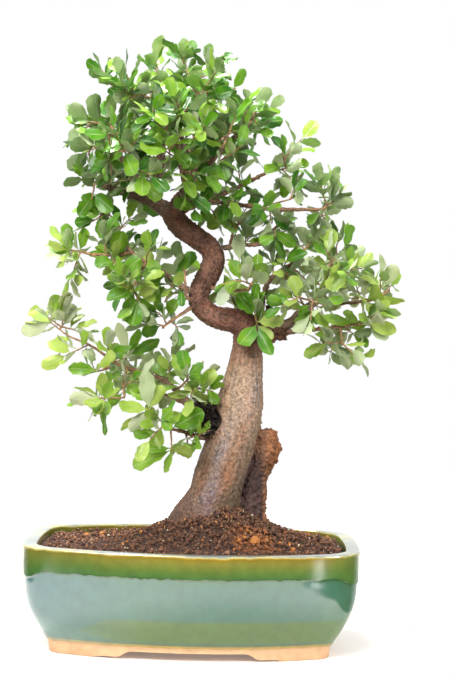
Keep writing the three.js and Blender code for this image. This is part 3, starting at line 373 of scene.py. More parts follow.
clay = bmesh.new()
inner, outer = curve(INNER_WALL, np.linspace(0, 1, 10)), curve(OUTER_WALL, np.linspace(0, 1, 31))
ring_walls(clay, plan, foot_plan, [*inner, *RIM, *BAND, *outer, *PLINTH])
kept_level = clay.verts.layers.float["level"]
for vert in clay.verts:
    share = max(0, 1 - abs(vert[kept_level] * 1000 - STEP_LEVEL) / STEP_REACH)
    vert.co.z -= share * DRIP_HEIGHT * noise.fractal(vert.co.xy.to_3d() / DRIP_WIDTH, 1.0, 2.0, 2)
pot_body = in_scene("pot_body", mesh_of("pot_body", clay))
drain = bmesh.new()
for drain_x in DRAIN_PLACES:
    bmesh.ops.create_cone(drain, cap_ends=True, segments=32, radius1=DRAIN_RADIUS, radius2=DRAIN_RADIUS,
                          depth=DRAIN_LENGTH, matrix=Matrix.Translation((drain_x, 0, 0)))
for cut in (cutter(FRONT_CUT, 160, 0), cutter(SIDE_CUT, 220, math.pi / 2), mesh_of("drain", drain)):
    tool = in_scene("cut", cut)
    modifier = pot_body.modifiers.new("cut", "BOOLEAN")
    modifier.operation, modifier.object, modifier.solver = "DIFFERENCE", tool, "EXACT"
    bpy.context.view_layer.update()
    settled(pot_body)
    bpy.data.objects.remove(tool)
pot_data = pot_body.data
bpy.data.objects.remove(pot_body)
print("pot faces:", len(pot_data.polygons))

# %% [markdown]
# ## The glaze
# The glaze is a thick, glassy ash glaze over pale stoneware, fired until it ran. It is thin and amber over
# the edge of the rim, gathers green at the foot of the band, where it hangs in small drips, and is a mid
# green on the wall; the darkest green at the band's foot is partly painted shade. It is rich in lead or
# boron, so it mirrors more than window glass does: the white table lays a pale veil over the wall. Just
# above the foot it ends in an amber line, and the bare clay shows peach. Above that line an olive band,
# thinning out to the left, is a painted reflection of the shadow on the table right under the pot.
# The colour follows the level on the pot, which is kept with each point, and only the lines on the band and
# above it are shaken by noise, because the glaze was waxed off straight at the foot. Towards the left end
# the band is a darker green and the wall bluer, and the pale foot of the wall there is a painted reflection
# of the white table. Its right end is a fresh green.

# %% Glaze
# The darkest green, at levels 0.69 to 0.72 on the band's foot, is partly the glaze's own drips and partly
# painted shade over the pale line that the mirrored table draws there.
GLAZE_LEVELS = [
    (0, "f8c696"), (1, "8e9690"), (0.113, "f8ca9c"), (0.117, "c09630"), (0.133, "a08e2e"),
    (0.142, "4a5a30"), (0.156, "3a6c50"), (0.62, "346a5a"), (0.69, "346c50"), (0.699, "2c602a"),
    (0.72, "4c7438"), (0.76, "5c7a34"), (0.80, "737f34"), (0.84, "868438"), (0.864, "90822e"),
    (0.873, "8c7420"), (0.884, "b0902a"), (0.893, "d0c47c"), (0.903, "8e9690")]
# At the left end the palest colour, low on the wall, is a painted reflection of the white table.
LEFT_LEVELS = [(0.2, "8aa8a4"), (0.903, "8e9690"), (0.34, "2c6070"), (0.685, "2c6070"), (0.71, "2a5c1c"),
               (0.873, "3a5c1c"), (0.893, "b8bc7c")]
RIGHT_LEVELS = [(0.3, "5a8434"), (0.903, "8e9690"), (0.42, "5b8460"), (0.685, "5b8460"), (0.71, "54803a"),
                (0.873, "64803a"), (0.893, "b8bc7c")]
END_TINTS_AND_REFLECTION = (LEFT_LEVELS, -0.05, -0.135, 0.5), (RIGHT_LEVELS, 0.088, 0.128, 0.85)
SHADE_REFLECTION_LEFT, SHADE_REFLECTION_FULL = -0.118, -0.070
ash_glaze, tree = new_material("ash_glaze_on_stoneware")
place = add(tree, "ShaderNodeTexCoord").outputs["Object"]
level = add(tree, "ShaderNodeAttribute", attribute_name="level").outputs["Fac"]
across = add(tree, "ShaderNodeMapping", {"Vector": place, "Scale": (1.0, 1.0, 0.15)})
runs = add(tree, "ShaderNodeTexNoise", {"Vector": across, "Scale": 34.0, "Detail": 4.0, "Roughness": 0.65})
high = add(tree, "ShaderNodeMapRange", {0: level, 1: 0.045, 2: 0.07, 3: 0.0006, 4: 0.0055})
wavering = add(tree, "ShaderNodeMath", {0: runs, 1: 0.5}, operation="SUBTRACT")
drips = add(tree, "ShaderNodeMath", {0: wavering, 1: high, 2: level}, operation="MULTIPLY_ADD")
share = add(tree, "ShaderNodeMapRange", {0: drips, 1: 0.0, 2: 0.1})
glaze_colour = add(tree, "ShaderNodeValToRGB", {0: share}, GLAZE_LEVELS)
side = add(tree, "ShaderNodeSeparateXYZ", {0: place}).outputs["X"]
# Painted reflection: an olive band above the foot, thinning out to the left, stands for the mirrored shadow
# on the table under the pot.
shade_reflection_top = add(tree, "ShaderNodeMapRange", {0: side, 1: SHADE_REFLECTION_LEFT, 2: SHADE_REFLECTION_FULL, 3: 0.023, 4: 0.0362},
                interpolation_type="SMOOTHERSTEP")
shade_reflection_end = add(tree, "ShaderNodeMapRange", {0: side, 1: SHADE_REFLECTION_LEFT, 2: SHADE_REFLECTION_FULL, 3: 0.0225, 4: 0.015},
                interpolation_type="SMOOTHERSTEP")
below = add(tree, "ShaderNodeMath", {0: shade_reflection_top, 1: level}, operation="SUBTRACT")
above = add(tree, "ShaderNodeMath", {0: level, 1: shade_reflection_end}, operation="SUBTRACT")
inside = add(tree, "ShaderNodeMath", {0: below, 1: above}, operation="MINIMUM")
painted_shade_reflection = add(tree, "ShaderNodeMapRange", {0: inside, 1: -0.001, 2: 0.0032},
             interpolation_type="SMOOTHSTEP")
glaze_colour = add(tree, "ShaderNodeMix", {0: painted_shade_reflection, 6: glaze_colour, 7: "4e7020"},
                   data_type="RGBA").outputs[2]
bare = add(tree, "ShaderNodeMapRange", {0: drips, 1: 0.0118, 2: 0.0114, 3: 0.0, 4: 1.0})
glazed = add(tree, "ShaderNodeMath", {0: 1.0, 1: bare}, operation="SUBTRACT")
for levels, inward, outward, most in END_TINTS_AND_REFLECTION:
    toward_end = add(tree, "ShaderNodeMapRange", {0: side, 1: inward, 2: outward, 3: 0.0, 4: most})
    at_end = add(tree, "ShaderNodeMath", {0: toward_end, 1: glazed}, operation="MULTIPLY")
    end_colour = add(tree, "ShaderNodeValToRGB", {0: share}, levels)
    glaze_colour = add(tree, "ShaderNodeMix", {0: at_end, 6: glaze_colour, 7: end_colour},
                       data_type="RGBA").outputs[2]
speckle = add(tree, "ShaderNodeTexNoise", {"Vector": place, "Scale": 120.0, "Detail": 4.0})
tint = add(tree, "ShaderNodeMapRange", {0: speckle, 1: 0.3, 2: 0.7, 3: 0.88, 4: 1.12})
toned = add(tree, "ShaderNodeVectorMath", {0: glaze_colour, 1: tint}, operation="MULTIPLY")
rough = add(tree, "ShaderNodeMapRange", {0: bare, 3: 0.13, 4: 0.8})
glassy = add(tree, "ShaderNodeMapRange", {0: bare, 3: 1.85, 4: 1.45})
grain = add(tree, "ShaderNodeTexNoise", {"Vector": place, "Scale": 900.0, "Detail": 3.0})
skin = add(tree, "ShaderNodeMath", {0: grain, 1: bare}, operation="MULTIPLY")
ripple = add(tree, "ShaderNodeTexNoise", {"Vector": place, "Scale": 20.0, "Detail": 2.0})
waves = add(tree, "ShaderNodeBump", {"Strength": 0.16, "Distance": 0.002, "Height": ripple})
relief = add(tree, "ShaderNodeBump", {"Strength": 0.3, "Distance": 0.0003, "Height": skin, "Normal": waves})
show(tree, add(tree, "ShaderNodeBsdfPrincipled", {
    "Base Color": toned, "Roughness": rough, "IOR": glassy, "Normal": relief}))
pot = new_piece("glazed_pot", pot_data, [ash_glaze], ["pot"], crease=38)
print("pot triangles:", len(pot.data.loop_triangles))

# %% [markdown]
# ## Repeating a small shape
# Crumbs, stones and leaves are each modelled once, with few faces, and then repeated. Making a mesh of all
# the copies at once is much faster than adding them one by one, and unlike instances it is still there in
# an export. Each copy is given as its points, so that a copy may be turned, stretched or bent in its own
# way.

# %% Repeats
def repeated(name, shape, places, values):
    """One mesh of many copies of a shape: places holds each copy's points, values its numbers by name."""
    copies, corners = places.shape[0], np.array([v for face in shape.polygons for v in face.vertices])
    totals = np.array([len(face.vertices) for face in shape.polygons])
    points = len(shape.vertices)
    data = bpy.data.meshes.new(name)
    data.vertices.add(copies * points)
    data.vertices.foreach_set("co", places.reshape(-1))
    data.loops.add(copies * len(corners))
    offsets = np.repeat(np.arange(copies) * points, len(corners))
    data.loops.foreach_set("vertex_index", np.tile(corners, copies) + offsets)
    data.polygons.add(copies * len(totals))
    data.polygons.foreach_set("loop_start", np.concatenate([[0], np.cumsum(np.tile(totals, copies))[:-1]]))
    finishes = [face.material_index for face in shape.polygons]
    data.polygons.foreach_set("material_index", np.tile(finishes, copies))
    if shape.uv_layers:
        flat = np.array([loop.uv for loop in shape.uv_layers[0].data])
        data.uv_layers.new(name="UVMap").data.foreach_set("uv", np.tile(flat, (copies, 1)).reshape(-1))
    data.update(calc_edges=True)
    for value, numbers in values.items():
        layer = data.attributes.new(value, "FLOAT", "POINT")
        layer.data.foreach_set("value", np.repeat(np.asarray(numbers, np.float32), points))
    return data


def turned_copies(shape, centres, sizes, seed):
    """Places of copies turned at random: sizes holds three half sizes for each copy."""
    draws = np.random.default_rng(seed)
    axes = np.linalg.qr(draws.normal(size=(len(centres), 3, 3)))[0]
    points = np.array([vert.co for vert in shape.vertices])
    return (points * sizes[:, None, :]) @ axes + centres[:, None, :]

# %% [markdown]
# ## The soil
# The soil is a dark, fibrous potting mix, mounded round the foot of the tree: steep on the right below the
# old stump, long on the left. Its surface is laid in rings that follow the plan of the pot and lifted to
# the mound's height, with a rough noise on top. Under its edge a skirt goes down inside the pot, so that
# the bed is a closed body as the real one is. It lies a little low, because the crumbs on it add their own
# height.

# %% Soil bed
BED_HEIGHT, MOUND_HEIGHT, MOUND_X = 85, 39, 29
MOUND_LEFT, MOUND_RIGHT, MOUND_DEEP, RIGHT_POWER = 66, 52, 54, 1.3
SOIL_LENGTH, SOIL_DEPTH, CRUMBS = 131.2, 93, 2.0
SOIL_SKIRT = [(131.2, 93, 70), (123.6, 88.6, 40.4)]
SOIL_STEPS, SOIL_RINGS = (26, 22, 12), 66
EDGE_SHARE, EDGE_RISE = 0.93, 1.0


def soil_height(x, y):
    """The height of the bed without its crumbs."""
    left, right = np.maximum(MOUND_X - x, 0) / MOUND_LEFT, np.maximum(x - MOUND_X, 0) / MOUND_RIGHT
    away = left ** 2 + right ** RIGHT_POWER + (y / MOUND_DEEP) ** 2
    bump = np.sin(x * 0.19 + 1.3) * np.cos(y * 0.23) + np.sin(x * 0.07 - y * 0.31)
    return BED_HEIGHT - CRUMBS + MOUND_HEIGHT * np.exp(-away) + 0.8 * bump


bed = bmesh.new()
soil_plan = plan_of_pot(CORNER_RADIUS, *SOIL_STEPS)
ring_shares = np.linspace(0.015, 0.995, SOIL_RINGS)
rings = [(SOIL_LENGTH * share, SOIL_DEPTH * share, BED_HEIGHT) for share in ring_shares]
ring_walls(bed, soil_plan, soil_plan, [*rings, (SOIL_LENGTH, SOIL_DEPTH, BED_HEIGHT - 1.5), *SOIL_SKIRT])
for vert in bed.verts:
    if vert.co.z > BED_HEIGHT - 1:
        x, y, _ = vert.co
        edge = max(abs(x) / SOIL_LENGTH, abs(y) / SOIL_DEPTH)
        clods = noise.turbulence(Vector((x, y, 0)) / 5, 4, False) - 0.5
        grains = noise.turbulence(Vector((x, y, 40)) / 1.3, 2, True) - 0.5
        vert.co.z = soil_height(x, y) + 2.4 * clods + 1.1 * grains
        if edge > EDGE_SHARE:
            vert.co.z = min(vert.co.z, BED_HEIGHT + EDGE_RISE)
soil_data = mesh_of("soil_bed", bed)
print("soil faces:", len(soil_data.polygons))

# %% [markdown]
# ## What the soil is made of
# Its crumbs are dark reddish brown with lighter specks. Right of the trunk's foot lies a zone of orange
# baked clay, a little of it at the left back as well. The zones are broad patches of noise and of place,
# the specks a noise of about a millimetre, which is the size of the grains themselves.

# %% Soil finish
CLAY_ZONE = (52, -48, 96)


def soil_colour(tree, dark, middle, light):
    """A grainy earth colour, more orange where the baked clay lies. Returns colour and grain."""
    place = add(tree, "ShaderNodeTexCoord").outputs["Object"]
    grain = add(tree, "ShaderNodeTexNoise", {
        "Vector": place, "Scale": 620.0, "Detail": 4.0, "Roughness": 0.75})
    colour = add(tree, "ShaderNodeValToRGB", {0: grain}, [(0.36, dark), (0.7, light), (0.52, middle)])
    centre = TO_METRES @ Vector(CLAY_ZONE)
    away = add(tree, "ShaderNodeVectorMath", {0: place, 1: tuple(centre)}, operation="DISTANCE")
    near = add(tree, "ShaderNodeMapRange", {0: away.outputs["Value"], 1: 0.012, 2: 0.034, 3: 0.25, 4: 0.0})
    patch = add(tree, "ShaderNodeTexNoise", {"Vector": place, "Scale": 95.0, "Detail": 4.0, "Roughness": 0.7})
    amount = add(tree, "ShaderNodeMath", {0: patch, 1: near}, operation="ADD")
    orange = add(tree, "ShaderNodeMapRange", {0: amount, 1: 0.62, 2: 0.76, 3: 0.0, 4: 0.75})
    mixed = add(tree, "ShaderNodeMix", {0: orange, 6: colour, 7: "b26a34"}, data_type="RGBA")
    return mixed.outputs[2], grain


dark_mix, tree = new_material("damp_fibrous_potting_mix")
earth, grain = soil_colour(tree, "1d120e", "58392b", "93694f")
relief = add(tree, "ShaderNodeBump", {"Strength": 1.0, "Distance": 0.0012, "Height": grain})
show(tree, add(tree, "ShaderNodeBsdfPrincipled", {"Base Color": earth, "Roughness": 0.92, "Normal": relief}))
new_piece("soil_bed", soil_data, [dark_mix], ["soil"], crease=180)

# %% [markdown]
# ## What lies on the soil
# Up close the mix is crumbs of peat of one to three millimetres, white perlite, orange clay grit, chips of
# bark and a felt of thin brown fibres and pale roots. Each kind is one small shape, repeated with its own
# sizes at seeded places. They are denser round the trunk, where the roots held the old soil together, and a
# dark clump of fibres sits against the foot of the stump.

# %% Scattering
CLUMP, ROOT_ZONE = (62, -4, 13, 12), (36, -8, 34, 28)
SOIL_EDGE_X, SOIL_EDGE_Y = 128, 90
TRUNK_FOOT, STUMP_FOOT = (8, 0, 25, 23), (51, 8, 11)


def on_soil(count, seed, near_trunk=0.0, clump=0.0):
    """Seeded places on the soil, clear of the wood: near_trunk and clump are the shares round those."""
    draws = np.random.default_rng(seed)
    found = []
    trunk_x, trunk_y, trunk_reach_x, trunk_reach_y = TRUNK_FOOT
    stump_x, stump_y, stump_reach = STUMP_FOOT
    while len(found) < count:
        share = draws.random()
        if share < clump + near_trunk:
            middle_x, middle_y, spread_x, spread_y = CLUMP if share < clump else ROOT_ZONE
            x, y = draws.normal(middle_x, spread_x), draws.normal(middle_y, spread_y)
        else:
            x, y = draws.uniform(-SOIL_LENGTH, SOIL_LENGTH), draws.uniform(-SOIL_DEPTH, SOIL_DEPTH)
        outside = (abs(x) / SOIL_EDGE_X) ** 4 + (abs(y) / SOIL_EDGE_Y) ** 4 > 1
        off_trunk = ((x - trunk_x) / trunk_reach_x) ** 2 + ((y - trunk_y) / trunk_reach_y) ** 2 > 1
        if not outside and off_trunk and math.hypot(x - stump_x, y - stump_y) > stump_reach:
            found.append((x, y, soil_height(x, y) + CRUMBS))
    return np.array(found)


def grit(name, finish, count, seed, low, high, flat=1.0, near_trunk=0.25, sides=1, sink=0.1):
    """Stones or crumbs of low to high millimetres across, flattened by flat."""
    ball = bmesh.new()
    bmesh.ops.create_icosphere(ball, subdivisions=sides, radius=1)
    for vert in ball.verts:
        vert.co *= 1 + 0.55 * (noise.noise(vert.co * 1.9 + Vector((seed, 0, 0))))
    shape = mesh_of(name + "_one", ball)
    draws = np.random.default_rng(seed + 500)
    across = low + (high - low) * draws.random(count) ** 2.2
    sizes = across[:, None] / 2 * draws.uniform(0.6, 1.15, (count, 3))
    sizes[:, 2] *= flat
    centres = on_soil(count, seed, near_trunk)
    centres[:, 2] += across * flat * sink + draws.uniform(-0.8, 0.5, count)
    places = turned_copies(shape, centres, sizes, seed + 900)
    data = repeated(name, shape, places, {"shade": draws.random(count)})
    return new_piece(name, data, [finish], [], crease=60)


def loose_finish(name, dark, middle, light, rough):
    """A dull finish between three colours, by each copy's own shade and a grain of half a millimetre."""
    material, tree = new_material(name)
    place = add(tree, "ShaderNodeTexCoord").outputs["Object"]
    grain = add(tree, "ShaderNodeTexNoise", {"Vector": place, "Scale": 900.0, "Detail": 3.0})
    shade = add(tree, "ShaderNodeAttribute", attribute_name="shade")
    mixed = add(tree, "ShaderNodeMath", {0: grain, 1: 0.5}, operation="MULTIPLY")
    both = add(tree, "ShaderNodeMath", {0: shade.outputs["Fac"], 1: 0.5, 2: mixed}, operation="MULTIPLY_ADD")
    colour = add(tree, "ShaderNodeValToRGB", {0: both}, [(0.15, dark), (0.85, light), (0.5, middle)])
    relief = add(tree, "ShaderNodeBump", {"Strength": 0.5, "Distance": 0.0005, "Height": grain})
    show(tree, add(tree, "ShaderNodeBsdfPrincipled", {
        "Base Color": colour, "Roughness": rough, "Normal": relief}))
    return material


peat, tree = new_material("peat_crumb")
earth, grain = soil_colour(tree, "2e1b12", "7c5038", "c08a60")
show(tree, add(tree, "ShaderNodeBsdfPrincipled", {"Base Color": earth, "Roughness": 0.95}))
perlite = loose_finish("expanded_perlite", "b8a283", "dcc9a6", "f3e6cb", 0.85)
baked_clay = loose_finish("baked_clay_grit", "a05a28", "c97f3c", "e0aa6a", 0.9)
bark_chip = loose_finish("composted_bark_chip", "2e1a12", "694433", "a87a5a", 0.85)
dry_root = loose_finish("dry_root_fibre", "7a5238", "b18a64", "e0c29c", 0.85)
dark_fibre = loose_finish("dark_peat_fibre", "20120d", "4a2f22", "7c5540", 0.9)
grit("peat_crumbs", peat, 4200, 11, 1.0, 4.2, near_trunk=0.45)
grit("perlite", perlite, 130, 12, 0.9, 2.6, near_trunk=0.2, sink=0.3)
grit("clay_grit", baked_clay, 170, 13, 1.0, 3.4, near_trunk=0.45, sink=0.3)
grit("bark_chips", bark_chip, 420, 14, 2.0, 7.0, flat=0.3, near_trunk=0.4, sink=0.4)
CLAY_LUMPS = [(53, -52, 8.5), (44, -50, 4.0), (40, -58, 3.6), (63, -47, 4.2), (75, -44, 3.6), (-97, 40, 5.5),
              (-84, 46, 5.0), (-72, 50, 4.5), (86, -52, 4.4)]
lump = bmesh.new()
bmesh.ops.create_icosphere(lump, subdivisions=3, radius=1)
for vert in lump.verts:
    vert.co *= 1 + 0.4 * noise.fractal(vert.co * 1.6, 1.0, 2.0, 4)
lump_data = mesh_of("lump_one", lump)
centres = np.array([(x, y, soil_height(x, y) + CRUMBS + across * 0.12) for x, y, across in CLAY_LUMPS])
sizes = np.array([[across / 2, across / 2, across / 2.4] for _, _, across in CLAY_LUMPS])
places = turned_copies(lump_data, centres, sizes, 22)
data = repeated("clay_lumps", lump_data, places, {"shade": [0.4] * len(sizes)})
new_piece("clay_lumps", data, [baked_clay], [], crease=60)

# %% Fibres
def fibres(name, finish, count, seed, length, width, near_trunk, clump, lift, flat):
    """Thin crooked fibres strewn on the soil, flattened toward it."""
    straw = bmesh.new()
    bmesh.ops.create_cone(straw, cap_ends=True, segments=3, radius1=1, radius2=0.5, depth=2)
    long_edges = [edge for edge in straw.edges if abs(edge.verts[0].co.z - edge.verts[1].co.z) > 1]
    bmesh.ops.subdivide_edges(straw, edges=long_edges, cuts=4)
    shape = mesh_of(name + "_one", straw)
    draws = np.random.default_rng(seed)
    lengths, widths = draws.uniform(*length, count), draws.uniform(*width, count)
    centres = on_soil(count, seed + 1, near_trunk, clump)
    centres[:, 2] += draws.uniform(*lift, count)
    places = turned_copies(shape, centres, np.stack([widths, widths, lengths / 2], 1), seed + 2)
    places = (places - centres[:, None, :]) * (1, 1, flat) + centres[:, None, :]
    bends = draws.uniform(0.25, 0.7, (count, 1, 1))
    places += np.sin(places[..., [1, 2, 0]] * bends + draws.uniform(0, 6, (count, 1, 1))) * 0.9
    data = repeated(name, shape, places, {"shade": draws.random(count)})
    return new_piece(name, data, [finish], [], crease=180)


fibres("root_fibres", dry_root, 520, 15, (3, 12), (0.14, 0.32), 0.5, 0.1, (-0.2, 1.2), 0.3)
fibres("peat_fibres", dark_fibre, 1900, 25, (2.5, 9), (0.14, 0.34), 0.35, 0.25, (-0.4, 1.3), 0.4)

# %% [markdown]
# ## The wood: places and limbs
# Limbs are listed from their thick end to their thin one, as a place and a radius. Places are read as seen
# from the front: across and up on the upright plane through the middle of the pot, with a depth, and at()
# moves them along the line of sight to that depth. The twigs and leaves further on start from these same
# limbs.

# %% Limbs
TRUNK = [
    [[3, 0, 62], 22], [[4, 0, 90], 30], [[8, 0, 108], 27.5], [[13, 0, 123], 23.5], [[20.5, 0, 142], 20.6],
    [[30, 0, 171], 19.4], [[35.5, 0, 192], 19], [[38.8, 0, 210], 18.4], [[42.6, 0, 245], 14.6],
    [[43.8, 0, 262], 12.4], [[43.5, -1, 274], 11.8],
]
S_BEND = [
    [[46, 0, 270], 11.5], [[42, -2, 279], 11.5], [[32.5, -4, 282.5], 10.8], [[20.9, -6, 283.8], 10],
    [[10, -8, 287.5], 9.6], [[1.3, -9, 295.6], 9.4], [[0.2, -9, 305], 9], [[3.5, -7, 314], 9],
    [[9.4, -4, 324.7], 9.7], [[12.6, 0, 336.3], 9.7], [[8, 3, 346.7], 9.8], [[-2.7, 5, 354.7], 10],
    [[-15.2, 6, 362.8], 10.3], [[-23.4, 5, 372.3], 9.8], [[-26.3, 4, 381], 7.5],
]
STUMP = [
    [[44, 8, 62], 13], [[49.8, 8, 107], 13.5], [[51.2, 8, 125], 12.4], [[53, 8, 143], 10.8],
    [[57.4, 8, 157], 11.2], [[62.4, 7, 169.6], 12.4], [[61.2, 7, 180], 11], [[59.6, 7, 186], 9.6],
]
BURL = [
    [[68, 6, 172], 6], [[73, 5, 169.5], 4.5],
]
WOUND = [
    [[28, -3, 193], 12], [[12, -6, 194], 8.5], [[5, -7, 195.5], 6],
]
KNOB = [
    [[49, 0, 269], 10], [[65, -4, 271.4], 7.6], [[78, -6, 270.3], 4.6],
]
UPPER_STUB = [
    [[56, 0, 273], 6.5], [[60.5, -2, 285.6], 5.6], [[61.2, -3, 297], 3.4],
]
BRANCHES = {
    "crown_right": [[[-24.4, 4, 376.6], 8], [[-15, 4, 390], 7], [[-8.3, 5, 401.7], 6],
        [[-3.4, 6, 417.6], 5], [[-0.3, 8, 435.3], 4], [[-1.7, 6, 456.3], 3], [[-5.7, 2, 477.3], 1.9]],
    "crown_left": [[[-25.2, 4, 374.9], 7.6], [[-35.9, 0, 381.7], 6.5], [[-47.5, -4, 387.5], 5.2],
        [[-60.8, -8, 390.7], 4], [[-75.8, -8, 394.8], 3], [[-89.1, -6, 399.7], 1.9]],
    "crown_middle": [[[-38, -2, 383], 5], [[-39.8, 2, 397.4], 4.3], [[-36.8, 4, 417.7], 3.7],
        [[-34.7, 2, 439.7], 3.1], [[-34.4, 0, 461.7], 2.5], [[-35.7, -2, 479.2], 1.8]],
    "crown_front": [[[-10.5, 4, 397], 4.2], [[-13.7, -18, 406.8], 3.6], [[-19.4, -38, 422.5], 2.8],
        [[-23.3, -54, 440], 1.9]],
    "crown_back": [[[-9, 5, 400], 4.2], [[-10.5, 26, 413.5], 3.6], [[-15.6, 45, 431], 2.8],
        [[-19.3, 60, 448.5], 1.9]],
    "crown_fork": [[[-3.4, 6, 417.6], 4.2], [[10.7, 2, 428.5], 3.4], [[26.5, -4, 441], 2.7],
        [[40.5, -6, 455.5], 1.8]],
    "crown_shoulder": [[[-37, 4, 411], 3.9], [[-52.5, -8, 423.5], 3.2], [[-68, -10, 437.3], 2.5],
        [[-83.6, -8, 452.5], 1.7]],
    "crown_left_back": [[[-47.5, -4, 387.5], 3.9], [[-55.4, 18, 402.3], 3.2], [[-67.4, 36, 416], 2.5],
        [[-77.8, 46, 429.8], 1.7]],
    "crown_left_front": [[[-45, -3, 386.5], 3.9], [[-53.9, -24, 400.6], 3.2], [[-66.6, -42, 416], 2.5],
        [[-75.8, -52, 431.6], 1.7]],
    "crown_right_back": [[[-2, 7, 426], 3.5], [[11.3, 24, 433.8], 2.7], [[21.5, 40, 446.4], 1.8]],
    "crown_right_front": [[[-4.5, 5.5, 413], 3.5], [[7, -20, 421], 2.7], [[17.5, -38, 433.5], 1.8]],
    "long_side": [[[-18.2, 4, 376.8], 3.4], [[-4.4, -6, 384.2], 2.7], [[7.9, -14, 386.2], 2.3],
        [[37.8, -20, 383.9], 2], [[66.1, -18, 381.1], 1.8], [[105.6, -14, 382], 1.4]],
    "upper_side": [[[-9, 6, 388], 3], [[9.6, 10, 389.8], 2.3], [[27, 14, 397.3], 2],
        [[42.6, 14, 405.6], 1.8], [[58.2, 8, 413.8], 1.4]],
    "s_bend_right": [[[9, 2, 346.5], 3.4], [[20.3, -4, 346.1], 2.5], [[35.2, -8, 349.1], 2.1],
        [[51, -6, 350.4], 1.7], [[61.3, 2, 361.2], 1.3]],
    "dead_twig_right": [[[26.4, -5, 346.8], 1.5], [[29.6, -8, 362.1], 1.2], [[37.3, -10, 370.3], 0.8]],
    "s_bend_low": [[[3.5, -8, 311.5], 2.6], [[15, -12, 310.5], 1.8], [[29.1, -18, 309], 1.5],
        [[43.2, -22, 309.8], 1.2]],
    "trunk_back": [[[51, 3, 275], 4], [[55.8, 6, 298.6], 2.7], [[62.3, 5, 319.9], 2.2],
        [[80.4, 3, 333], 1.8], [[89.8, 0, 343.4], 1.4]],
    "middle_right": [[[60, -2, 272], 5.4], [[79.9, -4, 281.2], 4.4], [[91.1, -6, 292.5], 3.6],
        [[104.9, -6, 302.8], 2.9], [[110.1, -4, 318.4], 2], [[113, 0, 330.8], 1.4]],
    "middle_fork": [[[104, -6, 302], 2.4], [[116.9, -12, 314.2], 1.9], [[126, -14, 324], 1.4]],
    "low_right": [[[68, -4, 271.5], 3.2], [[84.5, -8, 274.3], 2.3], [[105.5, -14, 277], 1.8],
        [[124.8, -16, 279.5], 1.5], [[138, -16, 281.6], 1.2]],
    "right_end": [[[103, -5, 301.6], 2.4], [[124.3, 2, 300.3], 1.9], [[141.9, 6, 301.6], 1.6],
        [[155.8, 8, 305.4], 1.3], [[167.9, 8, 312.8], 1]],
    "left_side": [[[-0.7, -9, 305], 3.6], [[-12.2, -15, 309.3], 2.6], [[-34.6, -20, 325.4], 2.1],
        [[-47.9, -22, 332.1], 1.9], [[-60.4, -22, 340.6], 1.8], [[-69.5, -18, 352.7], 1.6],
        [[-73.4, -14, 366.7], 1.4]],
    "left_out": [[[-60.4, -22, 340.6], 1.5], [[-74.4, -26, 337.3], 1.3], [[-96.4, -30, 338], 1.1]],
    "left_back": [[[0, -6, 303], 2.6], [[-14, 12, 312], 1.9], [[-34, 26, 324], 1.5], [[-52, 34, 336], 1.2]],
    "dead_fork": [[[-1, -9, 298], 1.7], [[-10.3, -20, 302.3], 1.3], [[-12.3, -24, 315.4], 1.1],
        [[-13.6, -22, 329.5], 0.8]],
    "dead_twig_left": [[[0, -9, 296], 1.7], [[-10.8, -17, 290], 1.4], [[-26.4, -22, 279], 1.1],
        [[-31, -22, 274.6], 0.8]],
    "low_left": [[[28, -3, 199], 4.4], [[8, -6, 203], 3.8], [[-7.1, -8, 210.1], 3],
        [[-18.8, -9, 221.2], 2.5], [[-29.6, -10, 228.9], 2.1], [[-45.5, -12, 234.6], 1.8],
        [[-64.1, -14, 239.5], 1.5], [[-80, -16, 249], 1.2]],
    "low_left_twig": [[[22, -3, 179], 3.4], [[4.1, -8, 179.6], 2.3], [[-9.1, -14, 183.6], 1.8],
        [[-18, -20, 185.4], 1.4]],
    "low_left_back": [[[16, -2, 203], 2.8], [[-2, 12, 206], 2], [[-22, 24, 214], 1.6],
        [[-42, 32, 222], 1.2]],
}


def at(place):
    """A place read from the front, put at its depth."""
    across, deep, up = place
    spread = 1 + deep / -EYE.y
    return np.array([EYE.x + (across - EYE.x) * spread, deep, EYE.z + (up - EYE.z) * spread])


def placed(rows):
    """Limb rows as places in the tree, with their radii."""
    return [at(place) for place, _ in rows], [radius for _, radius in rows]


THICK = [("trunk", TRUNK), ("s_bend", S_BEND), ("stump", STUMP), ("stump", BURL), ("stub", WOUND),
         ("stub", KNOB), ("stub", UPPER_STUB)]
LIMBS = [placed(rows) for _, rows in THICK] + [placed(rows) for rows in BRANCHES.values()]
print("limbs:", len(LIMBS))

# %% [markdown]
# ## Tubes
# A limb is a ring of points at its thick end, extruded from step to step along a smooth curve. Each step
# has a heading and two square directions that are carried along without spinning, and the ring is moved by
# the matrix that leads from one step to the next.

# %% Tubes along a curve
START_SIDE = np.array((0.31, -0.9, 0.2))


def unit(vector):
    """A vector of length one."""
    return vector / np.linalg.norm(vector)


def frames_along(points, radii):
    """A matrix for each point: its sides carried along without spin, scaled to the radius there."""
    frames, side = [], START_SIDE
    for index, (point, radius) in enumerate(zip(points, radii)):
        heading = unit(points[min(index + 1, len(points) - 1)] - points[max(index - 1, 0)])
        side = unit(side - heading * side.dot(heading))
        matrix = Matrix.Identity(4)
        columns = side * radius, np.cross(heading, side) * radius, heading * radius, point
        for column, vector in enumerate(columns):
            matrix.col[column][:3] = vector
        frames.append(matrix)
    return frames


def tube(shape, points, radii, sides):
    """Adds a closed tube through points to a bmesh."""
    frames = frames_along(points, radii)
    verts = bmesh.ops.create_circle(shape, segments=sides, radius=1, matrix=frames[0])["verts"]
    ring = list(dict.fromkeys(edge for vert in verts for edge in vert.link_edges))
    bmesh.ops.edgeloop_fill(shape, edges=ring)
    for before, frame_here in zip(frames, frames[1:]):
        made = bmesh.ops.extrude_edge_only(shape, edges=ring)
        moved, ring = parts_of(made, bmesh.types.BMVert), parts_of(made, bmesh.types.BMEdge)
        bmesh.ops.transform(shape, matrix=frame_here @ before.inverted(), verts=moved)
    bmesh.ops.edgeloop_fill(shape, edges=ring)


